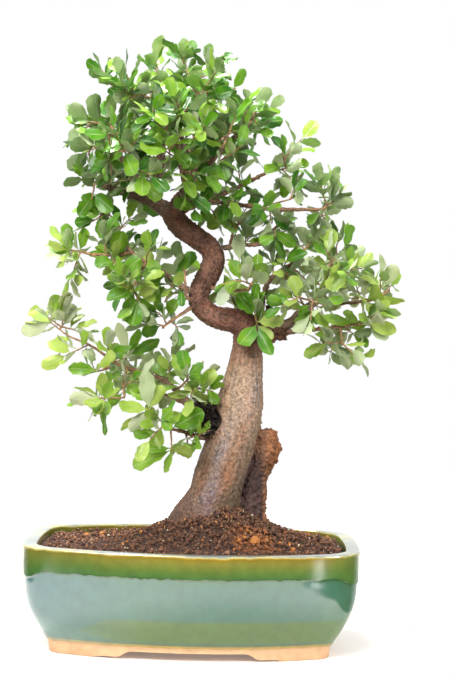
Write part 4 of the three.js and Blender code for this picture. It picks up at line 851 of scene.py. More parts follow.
def smooth_limb(places, radii, spacing):
    """Points about spacing apart on the curve through a limb's places, with the radius at each."""
    rows = np.column_stack([places, radii])
    rough = curve(places, np.linspace(0, 1, 60))
    length = np.linalg.norm(np.diff(rough, axis=0), axis=1).sum()
    count = max(2, math.ceil(length / spacing))
    found = curve(rows, np.linspace(0, 1, count + 1))
    return found[:, :3], np.maximum(found[:, 3], 0.5)

# %% [markdown]
# ## The thick wood
# The trunk, its S-shaped top and the old stump beside it have grown into each other, so their tubes are
# melted into one skin by a voxel remesh. Then the skin is moved in and out: broad flutes where roots and
# old branches pulled, and long shallow fissures that follow the grain. The grain direction comes from the
# nearest limb, whose frame also gives every point a straightened place, kept as an attribute for the bark's
# pattern.

# %% Thick wood as one skin
VOXEL = 1.15
GIRTH_HEIGHTS, GIRTH_ADDED = (105, 135, 185, 240), (0, 3.2, 2.2, 0.4)
STUB_SHARE, BRANCH_SHARE, WEB_RADIUS = 0.86, 1.02, 9.0
MELTED_BRANCHES = "crown_right", "crown_left", "middle_right", "low_left", "crown_middle"
ROOTS = [(-10, -8, 112, 6), (2, -22, 110, 6.5), (-8, 16, 111, 6), (34, -20, 112, 5), (66, 2, 110, 6),
         (58, 22, 108, 5)]
SPLINTERS = [(55, 4, 180, 54, 2, 190, 4.4), (59, 7, 180, 59, 8, 188, 4.6), (64, 7, 178, 65, 6, 186, 4.2),
             (68, 6, 178, 71, 6, 187, 3.6), (70, 5, 172, 76, 3, 172, 3.6), (66, 4, 164, 70, 3, 163, 3.4)]
core = bmesh.new()
for (kind, _), (places, radii) in zip(THICK, LIMBS):
    points, widths = smooth_limb(places, radii, 5)
    if kind == "trunk":
        widths = widths + np.interp(points[:, 2], GIRTH_HEIGHTS, GIRTH_ADDED)
    tube(core, points, widths * (STUB_SHARE if kind == "stub" else 1), 20)
for name in MELTED_BRANCHES:
    points, widths = smooth_limb(*placed(BRANCHES[name][:4]), 4)
    tube(core, points, widths * BRANCH_SHARE, 14)
web = [at((50, 10, 176)), at((46, 10, 140)), at((44, 9, 100))]
tube(core, curve(web, np.linspace(0, 1, 8)), np.full(8, WEB_RADIUS), 14)
foot = Matrix.Translation((29, 3, 92)) @ Matrix.Diagonal((32, 24, 22, 1))
bmesh.ops.create_uvsphere(core, u_segments=32, v_segments=16, radius=1, matrix=foot)
for x, y, z, radius in ROOTS:
    start, end = np.array((12 + x * 0.25, y * 0.3, 128)), np.array((x, y, z - 9))
    middle = (start + end) / 2 + np.array((x - 12, y, 0)) * 0.12
    thinning = np.linspace(radius * 1.2, radius * 0.8, 8)
    tube(core, curve([start, middle, end], np.linspace(0, 1, 8)), thinning, 12)
for x, y, z, end_x, end_y, end_z, radius in SPLINTERS:
    ends = [at((x, y, z)), at((end_x, end_y, end_z))]
    tube(core, curve(ends, np.linspace(0, 1, 4)), np.linspace(radius, radius * 0.6, 4), 10)
skin = in_scene("skin", mesh_of("skin", core))
remesh = skin.modifiers.new("melt", "REMESH")
remesh.mode, remesh.voxel_size = "VOXEL", VOXEL
smooth = skin.modifiers.new("smooth", "SMOOTH")
smooth.factor, smooth.iterations = 0.5, 4
wood_data = settled(skin)
bpy.data.objects.remove(skin)
print("skin faces:", len(wood_data.polygons))

# %% Straightened places on the bark
GUIDE_STEP, NEXT_LIMB = 3, 700
guides = []
for index, (places, radii) in enumerate(LIMBS):
    points, widths = smooth_limb(places, radii, GUIDE_STEP)
    kind = THICK[index][0] if index < len(THICK) else "branch"
    along = 0.0
    for point, width, matrix in zip(points, widths, frames_along(points, np.ones(len(points)))):
        guides.append((point, width, np.array(matrix)[:3, :3], along + index * NEXT_LIMB, kind))
        along += GUIDE_STEP
guide_points, guide_widths, guide_frames, guide_along, guide_kinds = (np.array(row) for row in zip(*guides))
BATCH = 4000


def bark_places(points):
    """For each point: its nearest guide, and its straightened place round and along that limb."""
    found = np.empty(len(points), int)
    for start in range(0, len(points), BATCH):
        part = points[start:start + BATCH]
        away = np.linalg.norm(part[:, None] - guide_points[None], axis=2) - guide_widths
        found[start:start + BATCH] = away.argmin(1)
    local = np.einsum("nij,ni->nj", guide_frames[found], points - guide_points[found])
    local[:, 2] += guide_along[found]
    return found, local


def points_of(data):
    """The points of a mesh as an array."""
    points = np.empty(len(data.vertices) * 3)
    data.vertices.foreach_get("co", points)
    return points.reshape(-1, 3)


BARK_DEPTH = {"trunk": 1.0, "s_bend": 1.3, "stump": 2.3, "stub": 3.0, "branch": 0.45}
WAIST_HEIGHT, SWELL_HEIGHT, CHANGE_REACH, WAIST_IN, SWELL_OUT = 133, 201, 13, 7, 5


def wood_relief(places, local, kinds):
    """How far the bark stands out, in mm: flutes and fissures along the grain, and small plates."""
    out = np.empty(len(local))
    for index, (place, (x, y, z), kind) in enumerate(zip(places, local, kinds)):
        flute = noise.noise(Vector((x / 10, y / 10, z / 55)))
        fissure = abs(noise.noise(Vector((x / 2.6, y / 2.6, z / 8))))
        plates = noise.fractal(Vector(place) / 2.4, 0.8, 2.1, 3)
        out[index] = BARK_DEPTH[kind] * (1.3 * flute + 1.4 * min(fissure, 0.35) - 0.35 + 0.75 * plates)
    return out


points = points_of(wood_data)
found, local = bark_places(points)
normals = np.array([vert.normal for vert in wood_data.vertices])
lift = wood_relief(points, local, guide_kinds[found])
points += normals * lift[:, None]
leftward = np.clip((guide_points[found][:, 0] - points[:, 0]) / guide_widths[found], 0, 1) ** 2
leftward *= guide_kinds[found] == "trunk"
waist, swell = (np.exp(-((points[:, 2] - height) / CHANGE_REACH) ** 2)
                for height in (WAIST_HEIGHT, SWELL_HEIGHT))
points[:, 0] += leftward * (WAIST_IN * waist - SWELL_OUT * swell)
wood_data.vertices.foreach_set("co", points.reshape(-1))
print("bark stands out from", lift.min().round(2), "to", lift.max().round(2), "mm")

# %% [markdown]
# ## Branches
# The thinner branches are plain tubes sunk into the thick wood, a little knobbly where leaves once grew.

# %% Branches
limbs = bmesh.new()
limbs.from_mesh(wood_data)
thin = bmesh.new()
knots = np.random.default_rng(31)
for name, rows in BRANCHES.items():
    points, widths = smooth_limb(*placed(rows), 2.2)
    widths = widths * (1 + 0.10 * knots.normal(size=len(widths))) + 0.5 * (knots.random(len(widths)) > 0.88)
    points = points + 0.22 * knots.normal(size=points.shape)
    tube(thin, points, widths, 8 if rows[0][1] < 3 else 10)
bmesh.ops.recalc_face_normals(thin, faces=thin.faces)
thin_data = mesh_of("thin", thin)
limbs.from_mesh(thin_data)
wood_data = mesh_of("trunk_and_branches", limbs)
points = points_of(wood_data)
found, local = bark_places(points)
print("wood faces:", len(wood_data.polygons))

# %% [markdown]
# ## Bark
# The bark of a young evergreen oak is thin, grey-tan and finely cracked, lengthwise first and then across,
# so that it breaks into small plates of one or two millimetres. Here it is paler on the lower trunk, which
# is blotched with orange and lilac grey, dark and reddish on the bend above, rough and orange-brown on the
# old stump, nearly black in the wound on the left, and orange-brown on young twigs. The stump's side toward
# the trunk and the cleft behind, between trunk and stump, are darkened with painted shade.
# The region's colour is stored with each point, and the blotches, plates and fissures are noise, the
# fissures on the straightened places.

# %% Bark colours by region
REGIONS = {"trunk": "c0a58a", "s_bend": "926855", "stump": "a07454", "stub": "4a3226", "branch": "a48873"}
kinds = guide_kinds[found]
widths = guide_widths[found]
heights = points[:, 2]
colours = np.array([linear(REGIONS[kind]) for kind in kinds])


def blend(colours, code, share):
    """The colours moved towards another by a share for each point."""
    share = np.clip(share, 0, 1)[:, None]
    return colours * (1 - share) + np.array(linear(code)) * share


def near_to(centre, reach):
    """One at a place, falling to nothing at its reach in mm."""
    return 1 - np.linalg.norm(points - at(centre), axis=1) / reach


def blotch(across, up, width, height):
    """One in the middle of a tall blotch as seen from the front, falling off around it, in mm."""
    aside = (points[:, 0] - across - (heights - up) * 0.3) / width
    broken = np.array([noise.fractal(Vector(point) / 5, 0.9, 2.0, 3) for point in points])
    in_front = points[:, 1] < 6
    return np.exp(-aside ** 2 - ((heights - up) / height) ** 2) * in_front * np.clip(1 + 1.3 * broken, 0, 1.4)


BLOTCHES = [(29, 152, 6, 30, "ab744a", 0.6), (14, 130, 7, 18, "a096a2", 0.6), (24, 176, 6, 22, "aaa0a8", 0.5),
            (50, 214, 6, 26, "b0a8ac", 0.4), (8, 148, 5, 16, "a9794e", 0.5), (43, 186, 5, 16, "ad7852", 0.45),
            (33, 124, 7, 10, "8c8258", 0.5)]
on_trunk, on_stump, on_stub = kinds == "trunk", kinds == "stump", kinds == "stub"
stains_and_painted_shade = [("6c4c3c", on_trunk * (192 - heights) / 92), ("8a5f4a", on_trunk * (heights - 232) / 34)]
stains_and_painted_shade += [(code, share * on_trunk * blotch(*place)) for *place, code, share in BLOTCHES]
stains_and_painted_shade += [
    # Painted shade: the stump darker on its side toward the trunk, and the cleft between them near black.
    ("5a403a", on_stump * np.clip((62 - points[:, 0]) / 7, 0, 1) * (172 - heights) / 14),
    ("b0713f", 0.8 * on_stump * np.clip((points[:, 0] - 60) / 8, 0, 1) * (heights > 112)),
    ("4a3531", 1.5 * near_to((45, 6, 140), 20)), ("1d110c", 1.6 * near_to((12, -6, 194), 22) * on_stub),
    ("946a54", 2.0 * near_to((66, -4, 271), 20) * on_stub), ("c8b8a0", 1.8 * near_to((8, -14, 363), 7)),
    ("c0946c", (kinds == "branch") * (2.6 - widths) / 1.6)]
for code, share in stains_and_painted_shade:
    colours = blend(colours, code, share)
layer = wood_data.color_attributes.new("bark_colour", "FLOAT_COLOR", "POINT")
layer.data.foreach_set("color", colours.reshape(-1).astype(np.float32))
layer = wood_data.attributes.new("grain", "FLOAT_VECTOR", "POINT")
layer.data.foreach_set("vector", (local / 1000).reshape(-1).astype(np.float32))

# %% Bark finish
bark, tree = new_material("oak_bark")
base = add(tree, "ShaderNodeAttribute", attribute_name="bark_colour").outputs["Color"]
grain_place = add(tree, "ShaderNodeAttribute", attribute_name="grain").outputs["Vector"]
along = add(tree, "ShaderNodeMapping", {"Vector": grain_place, "Scale": (1.0, 1.0, 0.22)})
place = add(tree, "ShaderNodeTexCoord").outputs["Object"]
fissures = add(tree, "ShaderNodeTexNoise", {"Vector": along, "Scale": 330.0, "Detail": 4.0, "Roughness": 0.6})
plates = add(tree, "ShaderNodeTexNoise", {"Vector": place, "Scale": 460.0, "Detail": 5.0, "Roughness": 0.75})
cracked = add(tree, "ShaderNodeMath", {0: fissures, 1: 0.3}, operation="MULTIPLY")
plated = add(tree, "ShaderNodeMath", {0: plates, 1: 0.7}, operation="MULTIPLY")
both = add(tree, "ShaderNodeMath", {0: cracked, 1: plated}, operation="ADD")
ridges = add(tree, "ShaderNodeMapRange", {0: both, 1: 0.39, 2: 0.61, 3: 0.3, 4: 1.66})
patchy = add(tree, "ShaderNodeMapping", {"Vector": grain_place, "Scale": (1.0, 1.0, 0.4)})
mottle = add(tree, "ShaderNodeTexNoise", {"Vector": patchy, "Scale": 70.0, "Detail": 5.0, "Roughness": 0.7})
patches = add(tree, "ShaderNodeValToRGB", {0: mottle}, [
    (0.33, "a39cab"), (0.68, "b06a34"), (0.45, "b9aaa2"), (0.53, "bda893"), (0.60, "c98d58")])
tinted = add(tree, "ShaderNodeMix", {0: 0.65, 6: base, 7: patches}, data_type="RGBA", blend_type="MULTIPLY")
lighter = add(tree, "ShaderNodeVectorMath", {0: tinted.outputs[2], 1: (1.55, 1.55, 1.55)},
              operation="MULTIPLY")
dark = add(tree, "ShaderNodeVectorMath", {0: lighter, 1: ridges}, operation="MULTIPLY")
relief = add(tree, "ShaderNodeBump", {"Strength": 0.8, "Distance": 0.0009, "Height": both})
show(tree, add(tree, "ShaderNodeBsdfPrincipled", {"Base Color": dark, "Roughness": 0.82, "Normal": relief}))
trunk = new_piece("trunk_and_branches", wood_data, [bark], ["trunk"], crease=180)
print("wood triangles:", len(trunk.data.loop_triangles))

# %% [markdown]
# ## The wound
# On the left of the trunk a branch was torn off long ago. Its stub is a dark tangle of torn fibres and dead
# twigs, which are strewn round it as short crooked tubes, one to two and a half millimetres thick where
# they start.

# %% Torn fibres
STRANDS = 300
torn = bmesh.new()
draws = np.random.default_rng(41)
for _ in range(STRANDS):
    start = at((draws.uniform(1, 16), draws.uniform(-21, 0), draws.uniform(183, 211)))
    middle = start + draws.normal(0, 2.2, 3)
    end = middle + draws.normal(0, 2.4, 3) + (-1.0, -0.6, 0)
    route = curve([start, middle, end], np.linspace(0, 1, 6))
    tube(torn, route, np.linspace(draws.uniform(0.6, 1.3), 0.35, 6), 5)
bmesh.ops.recalc_face_normals(torn, faces=torn.faces)
torn_data = mesh_of("torn_fibres", torn)
torn_data.attributes.new("shade", "FLOAT", "POINT").data.foreach_set(
    "value", draws.random(len(torn_data.vertices)) * 0.5)
dead_fibre = loose_finish("dead_wood_fibre", "150c09", "35231a", "7a5a44", 0.9)
new_piece("torn_fibres", torn_data, [dead_fibre], [], crease=180)

# %% [markdown]
# ## The sprays: twigs and leaves
# A spray is a twig with its side twigs and leaves. Each is listed with a tone, its twigs as a leaf count, a
# leaf length and the places that it goes through, and those leaves that are seen one by one in the
# photograph.

# %% Sprays
# The tone of a spray is partly the leaves' own and partly painted light and shade: sprays inside and behind
# the crown are darker, those at the outer tips brighter.
SPRAYS = {
    "crown_top": (0.5, [[4, 26, [-42.6, -8, 509.8]], [3, 25, [-28, 44, 489]]], []),
    "crown_top_right": (0.45, [[3, 25, [-18, 0, 508]], [3, 24, [7, 12, 498.7]]], []),
    "crown_top_left": (0.5, [[4, 27, [-60, -14, 478], [-73, -15, 496.8]], [2, 25, [-82.3, 8, 480.7]]], []),
    "crown_top_front": (0.4, [[3, 24, [-34.1, -46, 487.2]], [3, 24, [-64.6, -45, 475.9]]], []),
    "crown_top_back": (0.35, [[3, 24, [-62.9, 42, 477.7]]], []),
    "crown_right_top": (0.5, [[3, 24, [28.3, 4, 487]], [3, 24, [-0.7, -44, 486.2]]], []),
    "crown_right_tip": (0.45, [[4, 25, [47, -4, 470]], [3, 25, [52, -16, 450]]], []),
    "crown_right_front": (0.4, [[3, 24, [28.9, -44, 462.3]], [3, 24, [14.1, -52, 419.8]]], []),
    "crown_right_back": (0.35, [[3, 24, [30.5, 40, 469.4]], [2, 24, [20, 60, 446]]], []),
    "crown_left_tip": (0.55, [[4, 26, [-102.7, -12, 453.9]], [2, 24, [-98, 20, 440]]], []),
    "crown_left_edge": (0.5, [[3, 25, [-100.5, -30, 432]], [3, 24, [-98.4, 18, 416]]], []),
    "crown_left_low": (0.45, [[3, 25, [-105, -8, 404]], [3, 24, [-95.9, -27, 386]]], []),
    "crown_left_front": (0.45, [[3, 25, [-83.1, -60, 444]], [2, 24, [-78.8, -50, 408]]], []),
    "crown_left_back": (0.35, [[3, 25, [-74.3, 62, 444]], [2, 24, [-80, 56, 412]]], []),
    "crown_face": (0.45, [[3, 25, [-46.6, -78, 460]], [3, 26, [-13.4, -72, 468.3]]], []),
    "crown_face_low": (0.45, [[4, 26, [-30.1, -86, 431]], [3, 25, [2.9, -68, 445.9]]], []),
    "crown_face_left": (0.4, [[3, 26, [-65.2, -72, 430.2]], [3, 25, [-53.9, -57, 398.8]]], []),
    "crown_under": (0.5, [[3, 25, [-17.1, -56, 403.2]]], []),
    "crown_back": (0.35, [[3, 25, [-46.7, 72, 464]], [2, 25, [-11.5, 76, 461]]], []),
    "crown_back_low": (0.35, [[3, 25, [-31.9, 84, 431]], [2, 25, [1.8, 64, 419.5]]], []),
    "crown_back_under": (0.35, [[3, 25, [-53.8, 52, 395.3]]], []),
    "side_tip": (0.6, [[4, 23, [80.1, 4, 418.8]], [2, 22, [70.1, -8, 431]]], []),
    "side_middle": (0.45, [[3, 24, [62, -10, 398]], [2, 22, [84, -30, 392]]], []),
    "side_end": (0.6, [[4, 24, [118.6, -10, 390.7]], [3, 23, [100, -2, 372]]], []),
    "side_under": (0.4, [[3, 22, [72, 8, 371]], [2, 22, [66, -26, 358]]], []),
    "right_upper": (0.45, [[3, 23, [100.1, -4, 357]], [3, 22, [88, 22, 350]]], []),
    "right_top": (0.5, [[3, 24, [129, 0, 350]], [3, 24, [120, 24, 340]]], []),
    "right_peak": (0.5, [[3, 23, [136, -14, 334]], [3, 22, [118, -34, 328]]], []),
    "right_front": (0.45, [[3, 23, [88, -34, 306]], [3, 22, [112, -38, 298]]], []),
    "right_middle": (0.4, [[2, 22, [82, 10, 316]], [2, 22, [72, -14, 330]]], []),
    "right_back": (0.35, [[3, 23, [96, 36, 318]], [2, 23, [122, 38, 312]]], []),
    "right_out": (0.6, [[2, 22, [148, -10, 304]], [1, 20, [136, 22, 308]]], [
        [[181.5, -2, 302], 9, 60, 0.7], [[158.5, -24, 312.5], 17, 10, 0.95],
        [[167, 20, 322], 13, 150, 0.5], [[178.5, 6, 291], 8, 50, 0.85], [[160, 12, 330.5], 10, 70, 0.6]]),
    "right_low": (0.55, [[1, 22, [150, -16, 283.5]]], [
        [[174, -24, 277], 13, 15, 0.95], [[167, -14, 270.5], 13, 165, 0.55],
        [[146, -26, 296], 11, 60, 0.5], [[128, -24, 293], 12, 20, 0.55], [[98, -18, 289], 12, 20, 0.5]]),
    "right_dangle": (0.4, [[0, 14, [126.9, -18, 265.2], [136.8, -20, 255.8]], [0, 12, [116, -12, 264]]], [
        [[141, -20, 246.5], 6, 30, 0.3], [[133.5, -19, 256], 5, 60, 0.4], [[122, -12, 257.5], 6, 20, 0.7]]),
    "trunk_top": (0.3, [[0, 24, [52, -16, 279], [49, -24, 288]]], [
        [[34, -30, 306], 16, 15, 0.15], [[37, -30, 263], 17, 20, 0.25], [[75, -28, 283], 12, 25, 0.95],
        [[64, -26, 253], 12, 25, 0.15], [[66, -22, 268], 9, 30, 0.8]]),
    "s_bend_tuft": (0.35, [[3, 24, [50, -27, 322]], [2, 22, [36, -30, 318]]], [
        [[27, -24, 335.5], 13, 20, 0.4], [[52.5, -26, 341.5], 11, 25, 0.4], [[24, -20, 318], 12, 40, 0.5]]),
    "left_cluster": (0.35, [[3, 24, [-73, -30, 326], [-64, -38, 316]]], [
        [[-68, -36, 358], 17, 25, 0.45], [[-92, -34, 330], 14, 20, 0.25], [[-72, -44, 350], 8, 30, 0.95],
        [[-79, -40, 341], 7, 60, 0.9], [[-52, -34, 336], 13, 35, 0.25]]),
    "left_star": (0.4, [[0, 24, [-58, -36, 310], [-53.2, -48, 297]]], [
        [[-61, -50, 312], 11, 15, 0.95], [[-40, -50, 313], 12, 15, 0.85], [[-57, -50, 276], 17, 10, 0.2],
        [[-81, -46, 300], 15, 20, 0.3], [[-31, -40, 320], 14, 25, 0.35], [[-72, -50, 284], 12, 30, 0.4],
        [[-43, -46, 285], 10, 160, 0.3]]),
    "left_inner": (0.3, [[1, 20, [-24, -24, 312]], [0, 20, [-30, -18, 297]]], [
        [[-9.5, -30, 341.5], 11, 55, 0.2], [[-19, -22, 292], 14, 20, 0.35]]),
    "left_out": (0.6, [[1, 22, [-115.8, -32, 341.9]]], [
        [[-136, -34, 343.5], 10, 30, 0.65], [[-131.5, -32, 362], 10, 35, 0.75],
        [[-116.5, -30, 364.5], 13, 20, 0.4], [[-101, -26, 361], 11, 40, 0.45]]),
    "left_behind": (0.35, [[3, 23, [-68, 36, 340]], [2, 22, [-44, 42, 318]]], []),
    "left_high": (0.45, [[3, 23, [-84, -6, 376]], [3, 23, [-96, -14, 366]]], []),
    "low_tip": (0.75, [[0, 22, [-94.4, -18, 258], [-114, -19, 265.5], [-130.1, -20, 277.4]],
        [0, 18, [-118, -12, 276]]], [
        [[-147, -20, 287.5], 10, 20, 0.95], [[-152.5, -22, 277.6], 5, 70, 0.7],
        [[-154.5, -18, 268.5], 14, 160, 0.85], [[-117.8, -22, 299.7], 6, 60, 0.6],
        [[-122, -26, 256], 14, 20, 0.75], [[-107, -14, 292], 15, 165, 0.7],
        [[-123.5, -16, 246.8], 6, 75, 0.9], [[-97, -26, 246], 14, 170, 0.6]]),
    "low_middle": (0.5, [[0, 22, [-77, -22, 238], [-86.8, -24, 235]], [1, 22, [-60, 4, 250]]], [
        [[-72.5, -20, 260.5], 15, 20, 0.85], [[-50.8, -10, 272], 10, 35, 0.35],
        [[-70.6, 2, 278], 11, 160, 0.85], [[-33.9, -14, 263], 11, 45, 0.25],
        [[-101, -26, 231.5], 7, 60, 0.3], [[-75.7, -30, 225.5], 9, 30, 0.3]]),
    "low_fork": (0.5, [[0, 22, [-64.6, -22, 223.6], [-63.5, -26, 212.2], [-85.4, -30, 211.7]]], [
        [[-83.2, -37, 233.5], 11, 25, 0.9], [[-107.6, -28, 221.7], 10, 40, 0.7],
        [[-111.5, -34, 212], 13, 160, 0.75], [[-88.5, -38, 199], 9, 30, 0.3],
        [[-96, -28, 191], 6, 65, 0.85], [[-80.5, -22, 178.5], 9, 40, 0.25],
        [[-49.5, -34, 222], 9, 30, 0.35]]),
    "low_front": (0.5, [[0, 22, [-23.3, -24, 186.2], [-34, -32, 196], [-42, -36, 203]],
        [1, 20, [-20.1, -28, 166]]], [
        [[-45.5, -40, 236], 15, 175, 0.35], [[-29.1, -36, 224], 11, 25, 0.9],
        [[5.3, -30, 203.3], 19, 10, 0.2], [[-67.5, -42, 207.7], 14, 15, 0.6],
        [[-57, -36, 183], 13, 165, 0.75], [[-42, -30, 168], 10, 35, 0.3],
        [[-54.5, -22, 151.5], 16, 20, 0.5], [[-26.5, -26, 147.5], 8, 30, 0.5],
        [[-66.6, -28, 184.5], 9, 30, 0.75]]),
    "low_inner": (0.5, [[2, 22, [-6, -20, 232]], [1, 20, [4, -12, 221]]], [
        [[15.9, -14, 239], 13, 20, 0.85], [[-21, -18, 252.5], 8, 40, 0.5], [[-44, -26, 222], 10, 30, 0.5]]),
    "low_under": (0.4, [[2, 20, [-6, -26, 172]]], [
        [[0.5, -22, 168], 13, 20, 0.3]]),
    "low_behind": (0.35, [[3, 22, [-56, 36, 232]], [2, 22, [-30, 40, 238]]], []),
}


def draws_for(seed):
    """A stream of seeded draws from 0 to 1, the same on every machine."""
    state = (seed * 2654435761) % 2 ** 32
    skip = 4
    while True:
        state = (state * 1664525 + 1013904223) % 2 ** 32
        skip -= 1
        if skip < 0:
            yield state / 2 ** 32

# %% [markdown]
# ## How a twig grows
# A twig is a few straight stretches from the nearest wood that it can reach without touching anything. Each
# stretch carries two square directions on from the stretch before, so that leaves can be set round it in a
# spiral. Points along the wood are kept, because new twigs start from them and leaves keep clear of them.

# %% Wood to start from
UP, TO_VIEWER = np.array((0, 0, 1.0)), np.array((0, -1.0, 0))
TWIG_RADIUS, FREE_MARGIN, TWIG_CLEARANCE, STARTS_TRIED, LEAF_TRIES = 1.5, 2.5, 4.2, 60, 9


def spine_points(places, radii, spacing):
    """Points along the middle of a limb, with the radius at each."""
    ends = curve(places, np.linspace(0, 1, 201))
    count = max(2, math.ceil(np.linalg.norm(np.diff(ends, axis=0), axis=1).sum() / spacing))
    shares = np.arange(count + 1) / count
    return curve(places, shares), np.interp(shares, np.linspace(0, 1, len(radii)), radii)


spines = [spine_points(places, radii, 2) for places, radii in LIMBS]
spine = np.vstack([points for points, _ in spines])
spine_radius = np.concatenate([widths for _, widths in spines])


def is_past(points, margin):
    """True for each point that is farther than margin outside the wood."""
    away = np.linalg.norm(np.atleast_2d(points)[:, None] - spine[None], axis=2)
    return (away > spine_radius + margin).all(1)


def turn_between(before, after):
    """The smallest turn from one heading to another."""
    return np.array(Vector(before).rotation_difference(Vector(after)).to_matrix())


class Twig:
    """A twig through places: its stretches, its length and points along it."""

    def __init__(self, start, start_radius, ends):
        self.places = [start, *ends]
        self.radius, self.stretches, self.is_shoot = start_radius, [], False
        heading, side = None, START_SIDE
        for here, there in zip(self.places, self.places[1:]):
            length = np.linalg.norm(there - here)
            toward = (there - here) / length
            if heading is not None:
                side = turn_between(heading, toward) @ side
            side = unit(side - toward * side.dot(toward))
            heading = toward
            self.stretches.append((here, length, heading, side, np.cross(heading, side)))
        self.length = sum(stretch[1] for stretch in self.stretches)
        steps = range(int((self.length - 1) // 1.5) + 1)
        self.points = np.array([self.along(step * 1.5)[0] for step in steps])

    def along(self, distance):
        """The place at a distance, with the heading and square directions there."""
        for here, length, heading, side, other in self.stretches[:-1]:
            if distance <= length:
                return here + heading * distance, heading, side, other
            distance -= length
        here, length, heading, side, other = self.stretches[-1]
        return here + heading * distance, heading, side, other

# %% [markdown]
# ## How a leaf is placed
# The leaves stand round a twig by the spiral rule, a third of a turn from one to the next, closer together
# and more forward towards its tip. A leaf has a base, an axis, the direction that it faces, a length, a
# width, an arch and a tone from dark to bright. A new leaf is only kept where it clears the leaves and wood
# that are already there. Leaves that catch the eye in the photograph are listed one by one.

# %% Leaf places
SAMPLE_SHARES = np.repeat([0.2, 0.35, 0.5, 0.65, 0.8, 0.92, 1], 5)
SAMPLE_SIDES = np.tile([-0.95, -0.5, 0, 0.5, 0.95], 7)


def half_outline(share):
    """The half width of a leaf as a share of its widest, at a share of its length."""
    along = np.clip((np.asarray(share, float) - 0.12) / 0.88, 0, 1)
    lower = 1 - np.maximum(1 - along / 0.56, 0) ** 2.4
    upper = (1 - np.maximum((along - 0.56) / 0.44, 0) ** 3) ** 0.6
    return np.where(along <= 0, 0, np.where(along < 0.56, lower, upper))


class Leaf:
    """One leaf: where it is and how it lies."""

    def __init__(self, spray, base, axis, face, length, width, arch, tone):
        self.spray, self.base, self.axis, self.length = spray, base, axis, length
        self.width, self.arch, self.tone = width, arch, tone
        self.face = unit(face - axis * face.dot(axis))
        self.across = np.cross(self.face, axis)
        self.samples = self.place(SAMPLE_SHARES, SAMPLE_SIDES)
        self.middle = self.place(np.array([0.55]), np.array([0.0]))[0]

    def place(self, share, side):
        """Points on the leaf, by their share of its length and their side from -1 to 1."""
        half = (self.width / 2) * half_outline(share) * side
        return (self.base + np.outer(share, self.axis) * self.length + np.outer(half, self.across)
                - np.outer(share * share, self.face) * self.length * self.arch)


def drawn_leaf(spray, tone, twig, order, draw):
    """The next leaf of a twig by the spiral rule."""
    last = max(twig.count - 1, 1)
    back = (twig.last - twig.first) * ((twig.count - 1 - order) / last) ** 1.15
    base, heading, side, other = twig.along(twig.last - back)
    around = math.radians(60 + (twig.phase + order) * 120 + 44 * (next(draw) - 0.5))
    tilt = math.radians(72 - 40 * (order / last) + 26 * (next(draw) - 0.5))
    radial = side * math.sin(around) + other * math.cos(around)
    axis = unit(heading * math.cos(tilt) + radial * math.sin(tilt) + UP * 0.12)
    face = heading * 0.8 + UP * 0.5 + 1.5 * np.array([next(draw) - 0.5, next(draw) - 0.5, next(draw) - 0.5])
    length = twig.leaf_length * (0.84 + 0.3 * next(draw)) * (0.86 if order == twig.count - 1 else 1)
    width = length * (0.5 + 0.16 * next(draw))
    arch = -0.08 + 0.3 * next(draw)
    tone = tone + 0.5 * (next(draw) - 0.5) + (0.12 if order > twig.count - 3 else 0)
    return Leaf(spray, base, axis, face, length, width, arch, min(max(tone, 0), 1))


def listed_leaf(spray, points, row):
    """A leaf read from the photograph: its tip, width, turn about its own length, and tone."""
    tip, width, turn, tone = row
    end = at(tip)
    base = points[np.linalg.norm(points - end, axis=1).argmin()]
    axis, length = unit(end - base), np.linalg.norm(end - base)
    face = TO_VIEWER + 0.35 * UP
    face = unit(face - axis * face.dot(axis))
    turned = Matrix.Rotation(math.radians(turn), 3, Vector(axis)) @ Vector(face)
    return Leaf(spray, base, axis, np.array(turned), length, width, 0.06, tone)


class Thicket:
    """The leaves placed so far, with the wood that they keep clear of."""

    def __init__(self, wood, wood_radius, wood_spray):
        self.leaves, self.wood, self.wood_radius, self.wood_spray = [], wood, wood_radius, wood_spray
        self.middles, self.lengths = np.zeros((0, 3)), np.zeros(0)

    def keep(self, leaf):
        """Adds a leaf."""
        self.leaves.append(leaf)
        self.middles = np.vstack([self.middles, leaf.middle])
        self.lengths = np.append(self.lengths, leaf.length)

    def forget(self, count):
        """Drops every leaf after the first ones."""
        self.leaves = self.leaves[:count]
        self.middles, self.lengths = self.middles[:count], self.lengths[:count]

    def is_clear(self, leaf, own_gap=1.7, other_gap=2.4, wood_gap=1.3):
        """True where a leaf keeps its distance."""
        away = np.linalg.norm(self.middles - leaf.middle, axis=1)
        for index in np.nonzero(away <= (leaf.length + self.lengths) * 0.62 + 3)[0]:
            other = self.leaves[index]
            own = other.spray == leaf.spray
            first = 10 if own else 0
            gaps = np.linalg.norm(leaf.samples[first:, None] - other.samples[None, first:], axis=2)
            if gaps.min() < (own_gap if own else other_gap):
                return False
        near = np.linalg.norm(self.wood - leaf.middle, axis=1) <= leaf.length * 0.7 + self.wood_radius + 3
        near &= self.wood_spray != leaf.spray
        gaps = np.linalg.norm(leaf.samples[:, None] - self.wood[None, near], axis=2)
        return bool((gaps >= self.wood_radius[near] + wood_gap).all())

# %% [markdown]
# ## Growing the tree
# First every twig, then the listed leaves, then the leaves of the spiral rule, one twig after another. This
# is the growth of the solid model, so the finer leaves lie where its blades are. The solid model is kept
# light, and the real crown has several times as many leaves. So a second growth sets short new shoots on
# twigs and slim branches, where the crown is least crowded, and then fills up the twigs, all with a smaller
# distance.

# %% The solid model's twigs and leaves
twig_points, twig_sprays = np.zeros((0, 3)), []
grown = []


